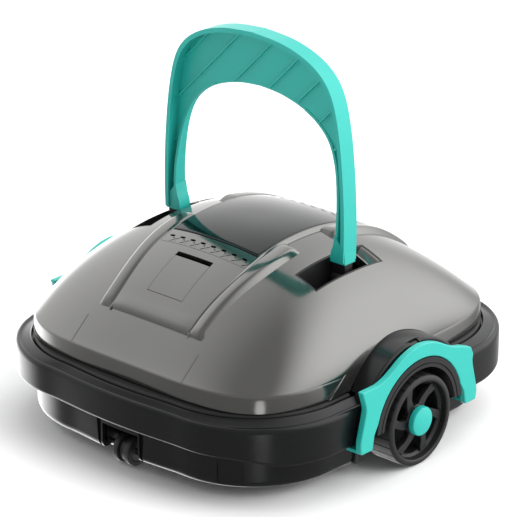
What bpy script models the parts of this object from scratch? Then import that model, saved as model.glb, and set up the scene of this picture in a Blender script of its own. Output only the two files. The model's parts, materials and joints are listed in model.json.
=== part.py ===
"""Battery pool floor cleaner, modelled as separate named pieces.

Frame: X runs along the wheel axles, -Y is the front (hatch side), +Z is up, and the origin is on the ground under the
middle. The numbers below are millimetres, and every helper turns them into metres.
"""

import math

import bpy
import bmesh
from mathutils import Matrix, Vector

MM = 0.001
GAP = 0.3

# Driving dimensions: half widths along X and half lengths along Y
BASE_X, BASE_Y, BASE_CORNER = 155.0, 169.0, 86.0
RIM_X, RIM_Y, RIM_CORNER = 170.0, 181.0, 89.5
SIDE_BOW = 4.0
BASE_BOTTOM, BASE_TOP = 11.0, 70.0
RIM_LOW_FRONT, RIM_LOW_SIDE, RIM_TOP = 44.0, 37.0, 71.0
WALL = 3.0

# The dome: level rings shrink from the skirt to the crest
DOME_X, DOME_Y = 151.5, 162.8
SHELL_BOTTOM, SKIRT_TOP, DOME_RISE = 76.9, 91.7, 77.4
SHELL_WALL = 2.5
DOME_COUNT = 40
DOME_LEVELS = (0.0, 0.12, 0.28, 0.46, 0.64, 0.8, 0.91, 0.975, 0.996)

# Wheels
WHEEL_RADIUS, TYRE_INNER = 39.0, 33.5
WHEEL_IN, WHEEL_OUT = 146.7, 178.7
AXLE_RADIUS, AXLE_Z = 4.0, 39.0
FENDER_IN, FENDER_OUT, FENDER_FACE = 45.5, 54.0, 177.0
BULGE_RADIUS, BULGE_IN, BULGE_OUT = 69.0, 141.0, 170.3
HOUSING_X = 140.0

# Side latches
LATCH_IN, LATCH_OUT = 171.2, 177.2
LATCH_PIN_X, LATCH_PIN_Z = 167.0, 103.3

# Handle
HANDLE_PIVOT_Z = 140.0
HANDLE_X = 92.5
HANDLE_RIM_DEPTH = 16.0
FOOT_HALF = 8.0
WELL_X_LOW, WELL_X_HIGH, WELL_FRONT, WELL_REAR = 81.0, 104.0, -46.0, 38.0
WELL_BOTTOM = 127.5

# Centre cover and what lies in it
COVER_X, COVER_FRONT_X, COVER_Y = 49.0, 43.5, 131.0
COVER_LOW, COVER_HIGH = 0.3, 3.3
CREST_X, CREST_FRONT, CREST_REAR = 47.0, -69.5, 72.0
HATCH_X, HATCH_FRONT, HATCH_REAR = 19.5, -114.3, -76.3

# Rollers
ROLLER_Y, ROLLER_RADIUS, ROLLER_HALF = 156.0, 12.5, 9.0
RECESS_X, RECESS_TOP = 20.0, 34.0

# Drive train and pump
GEAR_MODULE, WHEEL_TEETH, PINION_TEETH = 1.5, 24, 8
GEAR_LOW, GEAR_HIGH = 126.0, 132.0
PINION_Y = GEAR_MODULE * (WHEEL_TEETH + PINION_TEETH) / 2
DECK_LOW, DECK_HIGH = 70.3, 73.3
POST_X, POST_Y = 104.0, 112.0
FLAP_Y = 46.0

for old in list(bpy.data.objects):
    bpy.data.objects.remove(old)

parts = bpy.data.collections.new("pool_cleaner")
bpy.context.scene.collection.children.link(parts)
cutters = bpy.data.collections.new("cutters")
bpy.context.scene.collection.children.link(cutters)


# ---------------------------------------------------------------- helpers


def material(name, colour, roughness, metallic=0.0, alpha=1.0):
    made = bpy.data.materials.new(name)
    made.use_nodes = True
    shader = made.node_tree.nodes["Principled BSDF"]
    shader.inputs["Base Color"].default_value = (*colour, 1.0)
    shader.inputs["Roughness"].default_value = roughness
    shader.inputs["Metallic"].default_value = metallic
    shader.inputs["Alpha"].default_value = alpha
    made.diffuse_color = (*colour, 1.0)
    return made


GREY_SHELL = material("grey_shell", (0.21, 0.21, 0.205), 0.22)
SMOKED = material("smoked_window", (0.05, 0.05, 0.05), 0.08)
DARK = material("dark_plastic", (0.02, 0.02, 0.022), 0.35)
BLACK = material("black_plastic", (0.01, 0.01, 0.011), 0.5)
TEAL = material("teal_plastic", (0.06, 0.60, 0.52), 0.35)
RUBBER = material("rubber", (0.015, 0.015, 0.015), 0.75)
STEEL = material("steel", (0.6, 0.6, 0.6), 0.25, 1.0)
WHITE = material("white_plastic", (0.75, 0.76, 0.76), 0.4)
GREEN = material("board_green", (0.03, 0.2, 0.08), 0.5)


def link(name, mesh, collection=parts):
    obj = bpy.data.objects.new(name, mesh)
    collection.objects.link(obj)
    return obj


def finish(obj, finish_material, smooth=None):
    obj.data.materials.clear()
    obj.data.materials.append(finish_material)
    if smooth is not None:
        obj.data.shade_smooth()
        obj.data.set_sharp_from_angle(angle=math.radians(smooth))
    return obj


def from_bmesh(name, bm, collection=parts):
    mesh = bpy.data.meshes.new(name)
    bm.to_mesh(mesh)
    bm.free()
    return link(name, mesh, collection)


def box(name, low, high, collection=parts):
    low, high = Vector(low), Vector(high)
    bm = bmesh.new()
    bmesh.ops.create_cube(bm, size=1.0)
    bmesh.ops.scale(bm, vec=(high - low) * MM, verts=bm.verts)
    bmesh.ops.translate(bm, vec=(low + high) / 2 * MM, verts=bm.verts)
    return from_bmesh(name, bm, collection)


def along(axis):
    """Matrix that turns local +Z into the named world axis."""
    if axis == "X":
        return Matrix.Rotation(math.radians(90), 4, "Y")
    if axis == "Y":
        return Matrix.Rotation(math.radians(-90), 4, "X")
    return Matrix.Identity(4)


def cylinder(name, axis, centre, radius, start, end, segments=32, collection=parts):
    """A cylinder from start to end along axis, at the two other coordinates of centre."""
    index = "XYZ".index(axis)
    middle = Vector(centre)
    middle[index] = (start + end) / 2
    bm = bmesh.new()
    bmesh.ops.create_cone(bm, cap_ends=True, segments=segments, radius1=radius * MM, radius2=radius * MM,
                          depth=(end - start) * MM)
    bmesh.ops.transform(bm, matrix=Matrix.Translation(middle * MM) @ along(axis), verts=bm.verts)
    return from_bmesh(name, bm, collection)


def turned(name, profile, centre, axis="Z", segments=32, closed=True, collection=parts):
    """Turns (radius, height) points about the axis. They run down the outer side, top to bottom."""
    mesh = bpy.data.meshes.new(name)
    points = [(radius * MM, 0.0, height * MM) for radius, height in profile]
    edges = [(i, i + 1) for i in range(len(points) - 1)]
    if closed:
        edges.append((len(points) - 1, 0))
    mesh.from_pydata(points, edges, [])
    obj = link(name, mesh, collection)
    obj.matrix_world = Matrix.Translation(Vector(centre) * MM) @ along(axis)
    screw = obj.modifiers.new("turn", "SCREW")
    screw.steps = segments
    screw.render_steps = segments
    screw.use_merge_vertices = True
    screw.merge_threshold = 0.00001
    return obj


def loft(name, rings, collection=parts):
    """A closed solid through rings of points with equal counts, capped at both ends."""
    bm = bmesh.new()
    rows = [[bm.verts.new(point * MM) for point in ring] for ring in rings]
    count = len(rings[0])
    for low, high in zip(rows, rows[1:]):
        for i in range(count):
            j = (i + 1) % count
            bm.faces.new((low[i], low[j], high[j], high[i]))
    bm.faces.new(list(reversed(rows[0])))
    bm.faces.new(rows[-1])
    return from_bmesh(name, bm, collection)


def band(name, rings, collection=parts):
    """A closed ring-shaped solid: the rings go once round its cross-section."""
    bm = bmesh.new()
    rows = [[bm.verts.new(point * MM) for point in ring] for ring in rings]
    count = len(rings[0])
    for low, high in zip(rows, rows[1:] + rows[:1]):
        for i in range(count):
            j = (i + 1) % count
            bm.faces.new((low[i], low[j], high[j], high[i]))
    return from_bmesh(name, bm, collection)


def outline(name, points, axis, low, high, collection=parts):
    """A flat outline, in the two coordinates after axis is left out, extruded from low to high along axis."""
    curve = bpy.data.curves.new(name, "CURVE")
    curve.dimensions = "2D"
    curve.fill_mode = "BOTH"
    curve.extrude = (high - low) / 2 * MM
    spline = curve.splines.new("POLY")
    spline.points.add(len(points) - 1)
    for point, (u, v) in zip(spline.points, points):
        point.co = (u * MM, v * MM, 0.0, 1.0)
    spline.use_cyclic_u = True
    guide = link(name + "_outline", curve, collection)
    middle = (low + high) / 2 * MM
    if axis == "X":
        columns = (Vector((0, 1, 0)), Vector((0, 0, 1)), Vector((1, 0, 0)))
    else:
        columns = (Vector((1, 0, 0)), Vector((0, 0, 1)), Vector((0, -1, 0)))
    turn = Matrix(columns).transposed().to_4x4()
    offset = Vector((middle, 0, 0)) if axis == "X" else Vector((0, middle, 0))
    guide.matrix_world = Matrix.Translation(offset) @ turn
    bpy.context.view_layer.update()
    mesh = bpy.data.meshes.new_from_object(guide.evaluated_get(bpy.context.evaluated_depsgraph_get()))
    mesh.transform(guide.matrix_world)
    bpy.data.objects.remove(guide)
    bm = bmesh.new()
    bm.from_mesh(mesh)
    bpy.data.meshes.remove(mesh)
    bmesh.ops.remove_doubles(bm, verts=bm.verts, dist=0.00001)
    bmesh.ops.recalc_face_normals(bm, faces=bm.faces)
    return from_bmesh(name, bm, collection)


def boolean(obj, operation, others):
    """Joins or cuts obj with helper objects, which move to the cutters."""
    for other in others:
        other.hide_render = True
        other.display_type = "WIRE"
        for collection in list(other.users_collection):
            collection.objects.unlink(other)
        cutters.objects.link(other)
        modifier = obj.modifiers.new(other.name, "BOOLEAN")
        modifier.operation = operation
        modifier.solver = "EXACT"
        modifier.object = other
    return obj


def join(obj, *others):
    return boolean(obj, "UNION", others)


def cut(obj, *others):
    return boolean(obj, "DIFFERENCE", others)


def keep(obj, *others):
    return boolean(obj, "INTERSECT", others)


def place_origin(obj, point):
    """Moves the object's origin to a point without moving its shape."""
    target = Matrix.Translation(Vector(point) * MM)
    obj.data.transform(target.inverted() @ obj.matrix_world)
    obj.matrix_world = target
    return obj


def pivot(name, point, *children):
    """An empty on a joint's axis that carries the pieces turning or sliding with it."""
    empty = bpy.data.objects.new(name, None)
    empty.empty_display_size = 0.01
    parts.objects.link(empty)
    empty.location = Vector(point) * MM
    bpy.context.view_layer.update()
    for child in children:
        child.parent = empty
        child.matrix_parent_inverse = empty.matrix_world.inverted()
    return empty


def smoothstep(low, high, value):
    t = min(max((value - low) / (high - low), 0.0), 1.0)
    return t * t * (3 - 2 * t)


def plan_ring(half_x, half_y, corner, z, bow=SIDE_BOW, arc=5, side=3):
    """A rectangle with round corners and sides that bow outwards. z is a height or a function of x."""
    flat_x, flat_y = half_x - bow - corner, half_y - bow - corner
    points = []
    for quarter, (sx, sy) in enumerate(((1, 1), (-1, 1), (-1, -1), (1, -1))):
        for step in range(arc + 1):
            angle = math.radians(90 * (quarter + step / arc))
            points.append((sx * flat_x + corner * math.cos(angle), sy * flat_y + corner * math.sin(angle)))
        for step in range(1, side + 1):
            u = 2 * step / (side + 1) - 1
            out = bow * (1 - u * u)
            if quarter in (0, 2):
                points.append((-sx * u * flat_x, sy * (half_y - bow + out)))
            else:
                points.append((sx * (half_x - bow + out), -sy * u * flat_y))
    return [Vector((x, y, z(x) if callable(z) else z)) for x, y in points]


def grown(half_x, half_y, corner, grow, z):
    """plan_ring moved outwards by grow."""
    return plan_ring(half_x + grow, half_y + grow, corner + grow, z)


def level(h):
    """Half width, half length and squareness of the dome at a share h of its rise."""
    across = (DOME_X - 1) * (1 - h**1.78) ** (1 / 2.47)
    along_y = (DOME_Y - 1) * (1 - h**0.88) ** (1 / 2.37)
    return across, along_y, 4.37 - 2.34 * h


def ring_of(half_x, half_y, power, z, count=DOME_COUNT):
    points = []
    for i in range(count):
        angle = 2 * math.pi * (i + 0.5) / count
        c, s = math.cos(angle), math.sin(angle)
        reach = (abs(c) ** power + abs(s) ** power) ** (-1 / power)
        points.append(Vector((half_x * reach * c, half_y * reach * s, z)))
    return points


def dome_rings(inset=0.0, bottom=SHELL_BOTTOM):
    """The dome's outer surface from the skirt's lower edge to the crest, moved inwards by inset."""
    rings = [ring_of(DOME_X - inset, DOME_Y - inset, 4.37, bottom)]
    for h in DOME_LEVELS:
        across, along_y, power = level(h)
        rings.append(ring_of(max(across - inset, 2), max(along_y - inset, 2), power,
                             SKIRT_TOP + (DOME_RISE - inset) * h))
    return rings


def dome_height(x, y):
    """Height of the dome's outer surface over (x, y), found by halving the level."""
    low, high = 0.0, 1.0
    for _ in range(30):
        middle = (low + high) / 2
        across, along_y, power = level(middle)
        if (abs(x) / across) ** power + (abs(y) / along_y) ** power < 1:
            low = middle
        else:
            high = middle
    return SKIRT_TOP + DOME_RISE * low


def patch(name, half_x, y_low, y_high, low, high, across=8, along_y=12, end_half_x=None, collection=parts):
    """A curved plate that follows the dome from low to high above it. Its half width may taper to end_half_x."""
    bm = bmesh.new()
    layers = []
    for offset in (low, high):
        rows = []
        for j in range(along_y + 1):
            y = y_low + (y_high - y_low) * j / along_y
            half = half_x
            if end_half_x is not None:
                half = half_x + (end_half_x - half_x) * smoothstep(0.5, 1.0, abs(y) / COVER_Y)
            row = []
            for i in range(across + 1):
                x = half * (2 * i / across - 1)
                row.append(bm.verts.new(Vector((x, y, dome_height(x, y) + offset)) * MM))
            rows.append(row)
        layers.append(rows)
    under, over = layers
    for j in range(along_y):
        for i in range(across):
            bm.faces.new((under[j][i], under[j + 1][i], under[j + 1][i + 1], under[j][i + 1]))
            bm.faces.new((over[j][i], over[j][i + 1], over[j + 1][i + 1], over[j + 1][i]))
    edge = [(0, i) for i in range(across)] + [(j, across) for j in range(along_y)]
    edge += [(along_y, i) for i in range(across, 0, -1)] + [(j, 0) for j in range(along_y, 0, -1)]
    for (j, i), (j2, i2) in zip(edge, edge[1:] + edge[:1]):
        bm.faces.new((under[j][i], under[j2][i2], over[j2][i2], over[j][i]))
    return from_bmesh(name, bm, collection)


def smooth_path(knots, steps=4):
    """Points of a smooth curve through the knots."""
    points = []
    padded = [knots[0]] + list(knots) + [knots[-1]]
    for a, b, c, d in zip(padded, padded[1:], padded[2:], padded[3:]):
        for step in range(steps):
            t = step / steps
            points.append(tuple(
                0.5 * (2 * q + (r - p) * t + (2 * p - 5 * q + 4 * r - s) * t**2 + (3 * q - p - 3 * r + s) * t**3)
                for p, q, r, s in zip(a, b, c, d)))
    points.append(tuple(knots[-1]))
    return points


def mirrored(points):
    """A path on the +X side, from bottom to top, continued down the -X side."""
    return list(points) + [(-u, v) for u, v in reversed(points[:-1])]


# ---------------------------------------------------------------- base and rim


def wheel_space(tag, side, radius, start, end):
    return cylinder(f"wheel_space_{tag}", "X", (0, 0, AXLE_Z), radius, min(side * start, side * end),
                    max(side * start, side * end), 40)


def below_wheel(tag, side, radius, start, end, low=0.0):
    return box(f"below_wheel_{tag}", (min(side * start, side * end), -radius, low),
               (max(side * start, side * end), radius, AXLE_Z))


def make_base():
    outer = [grown(BASE_X, BASE_Y, BASE_CORNER, -5.0, BASE_BOTTOM),
             grown(BASE_X, BASE_Y, BASE_CORNER, -1.5, BASE_BOTTOM + 1.5),
             grown(BASE_X, BASE_Y, BASE_CORNER, 0.0, BASE_BOTTOM + 5.0),
             grown(BASE_X, BASE_Y, BASE_CORNER, 0.0, BASE_TOP)]
    base = loft("base_tray", outer)
    inner = [grown(BASE_X, BASE_Y, BASE_CORNER, -WALL - 2.0, BASE_BOTTOM + WALL),
             grown(BASE_X, BASE_Y, BASE_CORNER, -WALL, BASE_BOTTOM + WALL + 4.0),
             grown(BASE_X, BASE_Y, BASE_CORNER, -WALL, BASE_TOP + 5.0)]
    cut(base, loft("base_inside", inner))
    for side in (1, -1):
        end = "rear" if side > 0 else "front"
        y_in, y_out = side * (ROLLER_Y - ROLLER_RADIUS - 5), side * (BASE_Y - 6)
        join(base, box(f"roller_house_{end}", (-RECESS_X - WALL, min(y_in, y_out), BASE_BOTTOM + 1),
                       (RECESS_X + WALL, max(y_in, y_out), RECESS_TOP + WALL)))
    for sx in (1, -1):
        for sy in (1, -1):
            join(base,
                 cylinder(f"post_{sx}_{sy}", "Z", (sx * POST_X, sy * POST_Y, 0), 6, BASE_BOTTOM + 1, BASE_TOP, 16),
                 cylinder(f"filter_post_{sx}_{sy}", "Z", (sx * 62, sy * 28, 0), 4, BASE_BOTTOM + 1, 45.7, 12))
            if sx != sy:
                join(base, cylinder(f"deck_peg_{sx}_{sy}", "Z", (sx * POST_X, sy * POST_Y, 0), 2.0, 60, 75.5, 12))
        join(base,
             box(f"axle_rib_{sx}", (min(sx * 118, sx * 122), -11, BASE_BOTTOM + 1),
                 (max(sx * 118, sx * 122), 11, AXLE_Z + 10)),
             box(f"motor_saddle_{sx}", (min(sx * 86, sx * 116), PINION_Y - 9, BASE_BOTTOM + 1),
                 (max(sx * 86, sx * 116), PINION_Y + 9, AXLE_Z - 13.4)))
    for side in (1, -1):
        for sx in (1, -1):
            y = side * (FLAP_Y + 14)
            join(base, box(f"flap_lug_{side}_{sx}", (sx * 54 - 2.5, y - 3, BASE_BOTTOM + 1),
                           (sx * 54 + 2.5, y + 3, 20.5)))
    for side in (1, -1):
        end = "rear" if side > 0 else "front"
        y_in, y_out = side * (ROLLER_Y - ROLLER_RADIUS - 2), side * (BASE_Y + 5)
        cut(base,
            box(f"roller_recess_{end}", (-RECESS_X, min(y_in, y_out), 0), (RECESS_X, max(y_in, y_out), RECESS_TOP)),
            cylinder(f"roller_axle_hole_{end}", "X", (0, side * ROLLER_Y, ROLLER_RADIUS), 2.9, -40, 40, 16),
            box(f"intake_slot_{end}", (-45, side * FLAP_Y - 8, 0), (45, side * FLAP_Y + 8, 16)),
            cylinder(f"flap_pin_hole_{end}", "X", (0, side * (FLAP_Y + 14), 17.2), 1.8, -60, 60, 16))
        for sx in (1, -1):
            y_in, y_out = side * (BASE_Y - 2.3), side * (BASE_Y + 6)
            cut(base, box(f"cheek_groove_{end}_{sx}", (sx * 25.5 - 2, min(y_in, y_out), 0),
                          (sx * 25.5 + 2, max(y_in, y_out), 30)))
    for sx in (1, -1):
        cut(base,
            wheel_space(f"base_{sx}", sx, FENDER_OUT + GAP, HOUSING_X - GAP, RIM_X + 10),
            below_wheel(f"base_{sx}", sx, FENDER_OUT + GAP, HOUSING_X - GAP, RIM_X + 10),
            cylinder(f"axle_rib_hole_{sx}", "X", (0, 0, AXLE_Z), AXLE_RADIUS + GAP, min(sx * 110, sx * 125),
                     max(sx * 110, sx * 125), 24))
        cut(base, cylinder(f"post_bore_{sx}", "Z", (sx * POST_X, sx * POST_Y, 0), 2.3, 52, 80, 12))
    return finish(base, DARK, 40)


def rim_bottom(x):
    return RIM_LOW_FRONT + (RIM_LOW_SIDE - RIM_LOW_FRONT) * smoothstep(118, 158, abs(x))


def make_rim():
    inner_low, inner_high = GAP, 3.3
    rings = [
        grown(RIM_X, RIM_Y, RIM_CORNER, -3.0, rim_bottom),
        grown(RIM_X, RIM_Y, RIM_CORNER, 0.0, lambda x: rim_bottom(x) + 3.0),
        grown(RIM_X, RIM_Y, RIM_CORNER, 0.0, RIM_TOP - 3.0),
        grown(RIM_X, RIM_Y, RIM_CORNER, -1.0, RIM_TOP - 0.8),
        grown(RIM_X, RIM_Y, RIM_CORNER, -4.0, RIM_TOP + 0.8),
        grown(BASE_X, BASE_Y, BASE_CORNER, inner_high + 1.0, RIM_TOP + 2.6),
        grown(BASE_X, BASE_Y, BASE_CORNER, inner_high, RIM_TOP + 1.6),
        grown(BASE_X, BASE_Y, BASE_CORNER, inner_high, BASE_TOP),
        grown(BASE_X, BASE_Y, BASE_CORNER, inner_low, BASE_TOP),
        grown(BASE_X, BASE_Y, BASE_CORNER, inner_low, rim_bottom),
    ]
    rim = band("bumper_rim", rings)
    for sx in (1, -1):
        bulge = cylinder(f"bulge_{sx}", "X", (0, 0, AXLE_Z), BULGE_RADIUS, min(sx * BULGE_IN, sx * BULGE_OUT),
                         max(sx * BULGE_IN, sx * BULGE_OUT), 48)
        x_in, x_out = sx * (BULGE_IN - 5), sx * (BASE_X + 1.5)
        cut(bulge, box(f"bulge_inner_trim_{sx}", (min(x_in, x_out), -80, -40), (max(x_in, x_out), 80, 77)),
            box(f"bulge_low_trim_{sx}", (min(sx * 130, sx * 190), -80, -40), (max(sx * 130, sx * 190), 80, 52)))
        rounding = box(f"pin_rounding_{sx}", (min(sx * LATCH_PIN_X, sx * 176), -26, LATCH_PIN_Z),
                       (max(sx * LATCH_PIN_X, sx * 176), 26, 115))
        cut(rounding, cylinder(f"pin_round_{sx}", "Y", (sx * LATCH_PIN_X, 0, LATCH_PIN_Z), 3.95, -30, 30, 32))
        join(rim, bulge)
        cut(rim, rounding,
            wheel_space(f"rim_{sx}", sx, FENDER_OUT + GAP, HOUSING_X - 5, RIM_X + 10),
            below_wheel(f"rim_{sx}", sx, FENDER_OUT + GAP, HOUSING_X - 5, RIM_X + 10),
            box(f"latch_notch_{sx}", (min(sx * 162, sx * 172), -11.5, 99), (max(sx * 162, sx * 172), 11.5, 112)),
            cylinder(f"latch_pin_bore_{sx}", "Y", (sx * LATCH_PIN_X, 0, LATCH_PIN_Z), 1.5, -14.5, 14.5, 12))
    return finish(rim, DARK, 40)


def make_seals():
    """The seal between rim and dome is open over the wheels, so it is a front and a rear piece."""
    for name, y_low, y_high in (("rim_seal_front", -200, -61), ("rim_seal_rear", 61, 200)):
        ring = band(name, [
            grown(BASE_X, BASE_Y, BASE_CORNER, 2.0, BASE_TOP + GAP),
            grown(BASE_X, BASE_Y, BASE_CORNER, 2.0, SHELL_BOTTOM - 2.0),
            grown(BASE_X, BASE_Y, BASE_CORNER, 0.5, SHELL_BOTTOM - GAP),
            grown(BASE_X, BASE_Y, BASE_CORNER, -6.5, SHELL_BOTTOM - GAP),
            grown(BASE_X, BASE_Y, BASE_CORNER, -6.5, BASE_TOP + GAP),
        ])
        keep(ring, box(name + "_half", (-200, y_low, 60), (200, y_high, 90)))
        finish(ring, RUBBER, 40)


def make_fender(tag, sx):
    def span(low, high):
        return min(sx * low, sx * high), max(sx * low, sx * high)

    x_low, x_high = span(HOUSING_X, FENDER_FACE)
    fender = cylinder(f"fender_{tag}", "X", (0, 0, AXLE_Z), FENDER_OUT, x_low, x_high, 40)
    join(fender, box(f"fender_legs_{tag}", (span(HOUSING_X, 154.5)[0], -FENDER_OUT, BASE_BOTTOM + 0.8),
                     (span(HOUSING_X, 154.5)[1], FENDER_OUT, AXLE_Z)))
    hollow_low, hollow_high = span(HOUSING_X + 2.5, 185)
    cut(fender,
        cylinder(f"fender_hollow_{tag}", "X", (0, 0, AXLE_Z), FENDER_IN, hollow_low, hollow_high, 40),
        box(f"fender_hollow_low_{tag}", (hollow_low, -FENDER_IN, -20), (hollow_high, FENDER_IN, AXLE_Z)),
        box(f"fender_outer_low_{tag}", (span(154.8, 185)[0], -80, -20), (span(154.8, 185)[1], 80, AXLE_Z + 5)),
        box(f"fender_bottom_{tag}", (span(130, 190)[0], -80, -30), (span(130, 190)[1], 80, BASE_BOTTOM + 0.8)),
        cylinder(f"bearing_hole_{tag}", "X", (0, 0, AXLE_Z), 5.0, *span(135, 150), 24))
    bearing = cylinder(f"bearing_{tag}", "X", (0, 0, AXLE_Z), 9.0, *span(136, 145.5), 24)
    cut(bearing, cylinder(f"bearing_bore_{tag}", "X", (0, 0, AXLE_Z), AXLE_RADIUS + GAP, *span(130, 150), 24))
    join(fender, bearing)
    return finish(fender, BLACK, 40)


# ---------------------------------------------------------------- dome


def make_shell():
    shell = loft("top_shell", dome_rings())
    inside = dome_rings(SHELL_WALL, SHELL_BOTTOM - 5)
    cut(shell, loft("shell_inside", inside))
    for sx in (1, -1):
        cut(shell,
            cylinder(f"shell_arch_{sx}", "X", (0, 0, AXLE_Z), BULGE_RADIUS + GAP,
                     min(sx * (BULGE_IN - GAP), sx * 190), max(sx * (BULGE_IN - GAP), sx * 190), 48),
            box(f"shell_slot_{sx}", (min(sx * WELL_X_LOW, sx * WELL_X_HIGH), WELL_FRONT, 100),
                (max(sx * WELL_X_LOW, sx * WELL_X_HIGH), WELL_REAR, 200)))
    for tag, y_low, y_high in (("front", -67, -57), ("rear", 62, 70)):
        cut(shell, box(f"shell_outlet_{tag}", (-43, y_low, 120), (43, y_high, 200)))
    cut(shell, box("shell_hatch", (-HATCH_X - GAP, HATCH_FRONT, 100), (HATCH_X + GAP, HATCH_REAR, 200)))
    return finish(shell, GREY_SHELL, 50)


def make_cover():
    cover = patch("centre_cover", COVER_X, -COVER_Y, COVER_Y, COVER_LOW, COVER_HIGH, 8, 22, COVER_FRONT_X)
    cut(cover, box("cover_crest", (-CREST_X, CREST_FRONT, 100), (CREST_X, CREST_REAR, 200)),
        box("cover_hatch", (-HATCH_X, HATCH_FRONT, 100), (HATCH_X, HATCH_REAR, 200)))
    finish(cover, GREY_SHELL, 50)
    crest = CREST_X - GAP
    finish(patch("crest_window", crest, -53.5, 59.7, COVER_LOW, 3.0, 8, 8), SMOKED, 50)
    for end, y_low, y_high in (("front", CREST_FRONT + GAP, -53.8), ("rear", 60.0, CREST_REAR - GAP)):
        strip = patch(f"vent_strip_{end}", crest, y_low, y_high, COVER_LOW, COVER_HIGH, 8, 1)
        middle = (y_low + y_high) / 2
        for slot in range(8):
            x = 11.2 * (slot - 3.5)
            cut(strip, box(f"vent_slot_{end}_{slot}", (x - 3.4, middle - 1.4, 120), (x + 3.4, middle + 1.4, 200)))
        finish(strip, GREY_SHELL, 50)


HATCH_AXIS_Y, HATCH_MIDDLE = -111.2, 19.8
HATCH_AXIS_Z = dome_height(0, HATCH_AXIS_Y) + 0.6
HATCH_SLOPE = math.atan2(dome_height(0, -76) - dome_height(0, HATCH_AXIS_Y), -76 - HATCH_AXIS_Y)
hatch_frame = (Matrix.Translation(Vector((0, HATCH_AXIS_Y, HATCH_AXIS_Z)) * MM)
               @ Matrix.Rotation(HATCH_SLOPE, 4, "X"))


def tilted(obj):
    """Puts a piece made in the hatch's own frame (+Y up the slope, +Z out of it) into the world."""
    obj.data.transform(obj.matrix_world)
    obj.matrix_world = hatch_frame
    bpy.context.view_layer.update()
    return obj


def make_hatch():
    door = patch("hatch_door", 19.1, -108.6, -80.6, 0.9, COVER_HIGH, 4, 4)
    join(door,
         patch("door_lip", 19.1, -113.9, -107.0, 2.75, COVER_HIGH, 4, 2),
         tilted(cylinder("door_knuckle", "X", (0, 0, 0), 1.6, -9.5, 9.5, 16)),
         tilted(box("door_neck", (-9.5, 0, -0.8), (9.5, 6.0, 1.1))))
    cut(door, tilted(cylinder("door_bore", "X", (0, 0, 0), 0.8, -20, 20, 12)))
    finish(door, GREY_SHELL, 50)
    place_origin(door, (0, HATCH_AXIS_Y, HATCH_AXIS_Z))

    pin = tilted(cylinder("hatch_pin", "X", (0, 0, 0), 0.6, -13.0, 13.0, 12))
    finish(pin, STEEL, 40)

    well = tilted(box("hatch_well", (-19.0, -1.0, -19.0), (19.0, 38.0, -2.6)))
    cut(well, tilted(box("hatch_well_inside", (-17.4, 3.2, -17.4), (17.4, 36.4, 5.0))))
    for sx in (1, -1):
        x_low, x_high = sx * 12.2 - 2.2, sx * 12.2 + 2.2
        join(well,
             tilted(box(f"hatch_lug_{sx}", (x_low, -1.5, -4.0), (x_high, 1.5, 0))),
             tilted(cylinder(f"hatch_lug_top_{sx}", "X", (0, 0, 0), 1.5, x_low - 0.1, x_high + 0.1, 16)))
    cut(well,
        tilted(cylinder("hatch_lug_bore", "X", (0, 0, 0), 0.8, -20, 20, 12)),
        tilted(cylinder("button_hole", "Z", (-8.5, HATCH_MIDDLE, 0), 4.6, -25, -10, 24)))
    finish(well, BLACK, 40)

    button = turned("power_button", [(0, -10.2), (6.4, -10.2), (7.2, -11.0), (7.2, -13.8), (4.2, -13.8),
                                     (4.2, -23.0), (0, -23.0)], (0, 0, 0), "Z", 20, False)
    button.matrix_world = hatch_frame @ Matrix.Translation(Vector((-8.5, HATCH_MIDDLE, 0)) * MM)
    finish(button, TEAL)

    port = turned("charging_port", [(0, -14.5), (4.2, -14.5), (4.2, -9.2), (7.0, -9.2), (7.4, -9.8),
                                    (7.4, -17.1), (0, -17.1)], (0, 0, 0), "Z", 20, False)
    port.matrix_world = hatch_frame @ Matrix.Translation(Vector((8.5, HATCH_MIDDLE, 0)) * MM)
    finish(port, BLACK)


# ---------------------------------------------------------------- handle


ARCH_OUTER = [(100.0, 158.0), (100.3, 190.0), (98.4, 228.0), (94.0, 266.0), (87.0, 294.0), (76.0, 311.0),
              (58.0, 323.0), (32.0, 331.0), (0.0, 334.0)]
ARCH_FLANGE = [(91.0, 158.0), (91.3, 190.0), (90.6, 228.0), (88.0, 262.0), (82.5, 289.0), (73.0, 305.5),
               (56.5, 317.5), (31.5, 326.0), (0.0, 329.0)]
ARCH_INNER = [(88.5, 158.0), (89.5, 190.0), (87.5, 215.0), (83.0, 237.0), (75.0, 255.0), (62.0, 268.0),
              (44.0, 277.5), (22.0, 283.5), (0.0, 285.5)]


def arch(outer, inner, steps):
    return mirrored(smooth_path(outer, steps)) + list(reversed(mirrored(smooth_path(inner, steps))))


def make_handle():
    half = HANDLE_RIM_DEPTH / 2
    handle = outline("handle", arch(ARCH_OUTER, ARCH_FLANGE, 2), "Y", -half, half)
    web = outline("handle_web", arch([(u - 1.5 if u > 1 else u, v - 1.5) for u, v in ARCH_OUTER], ARCH_INNER, 2),
                  "Y", 2.0, 6.0)
    join(handle, web)
    for sx in (1, -1):
        x_low, x_high = sx * HANDLE_X - FOOT_HALF, sx * HANDLE_X + FOOT_HALF
        foot = box(f"foot_{sx}", (x_low, -6.5, HANDLE_PIVOT_Z), (x_high, 6.5, 172))
        join(handle, foot, cylinder(f"barrel_{sx}", "X", (0, 0, HANDLE_PIVOT_Z), 7.5, x_low, x_high, 24))
        cut(handle, cylinder(f"handle_bore_{sx}", "X", (0, 0, HANDLE_PIVOT_Z), 3.5, x_low - 5, x_high + 5, 16))
    place_origin(handle, (0, 0, HANDLE_PIVOT_Z))
    return finish(handle, TEAL, 35)


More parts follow.
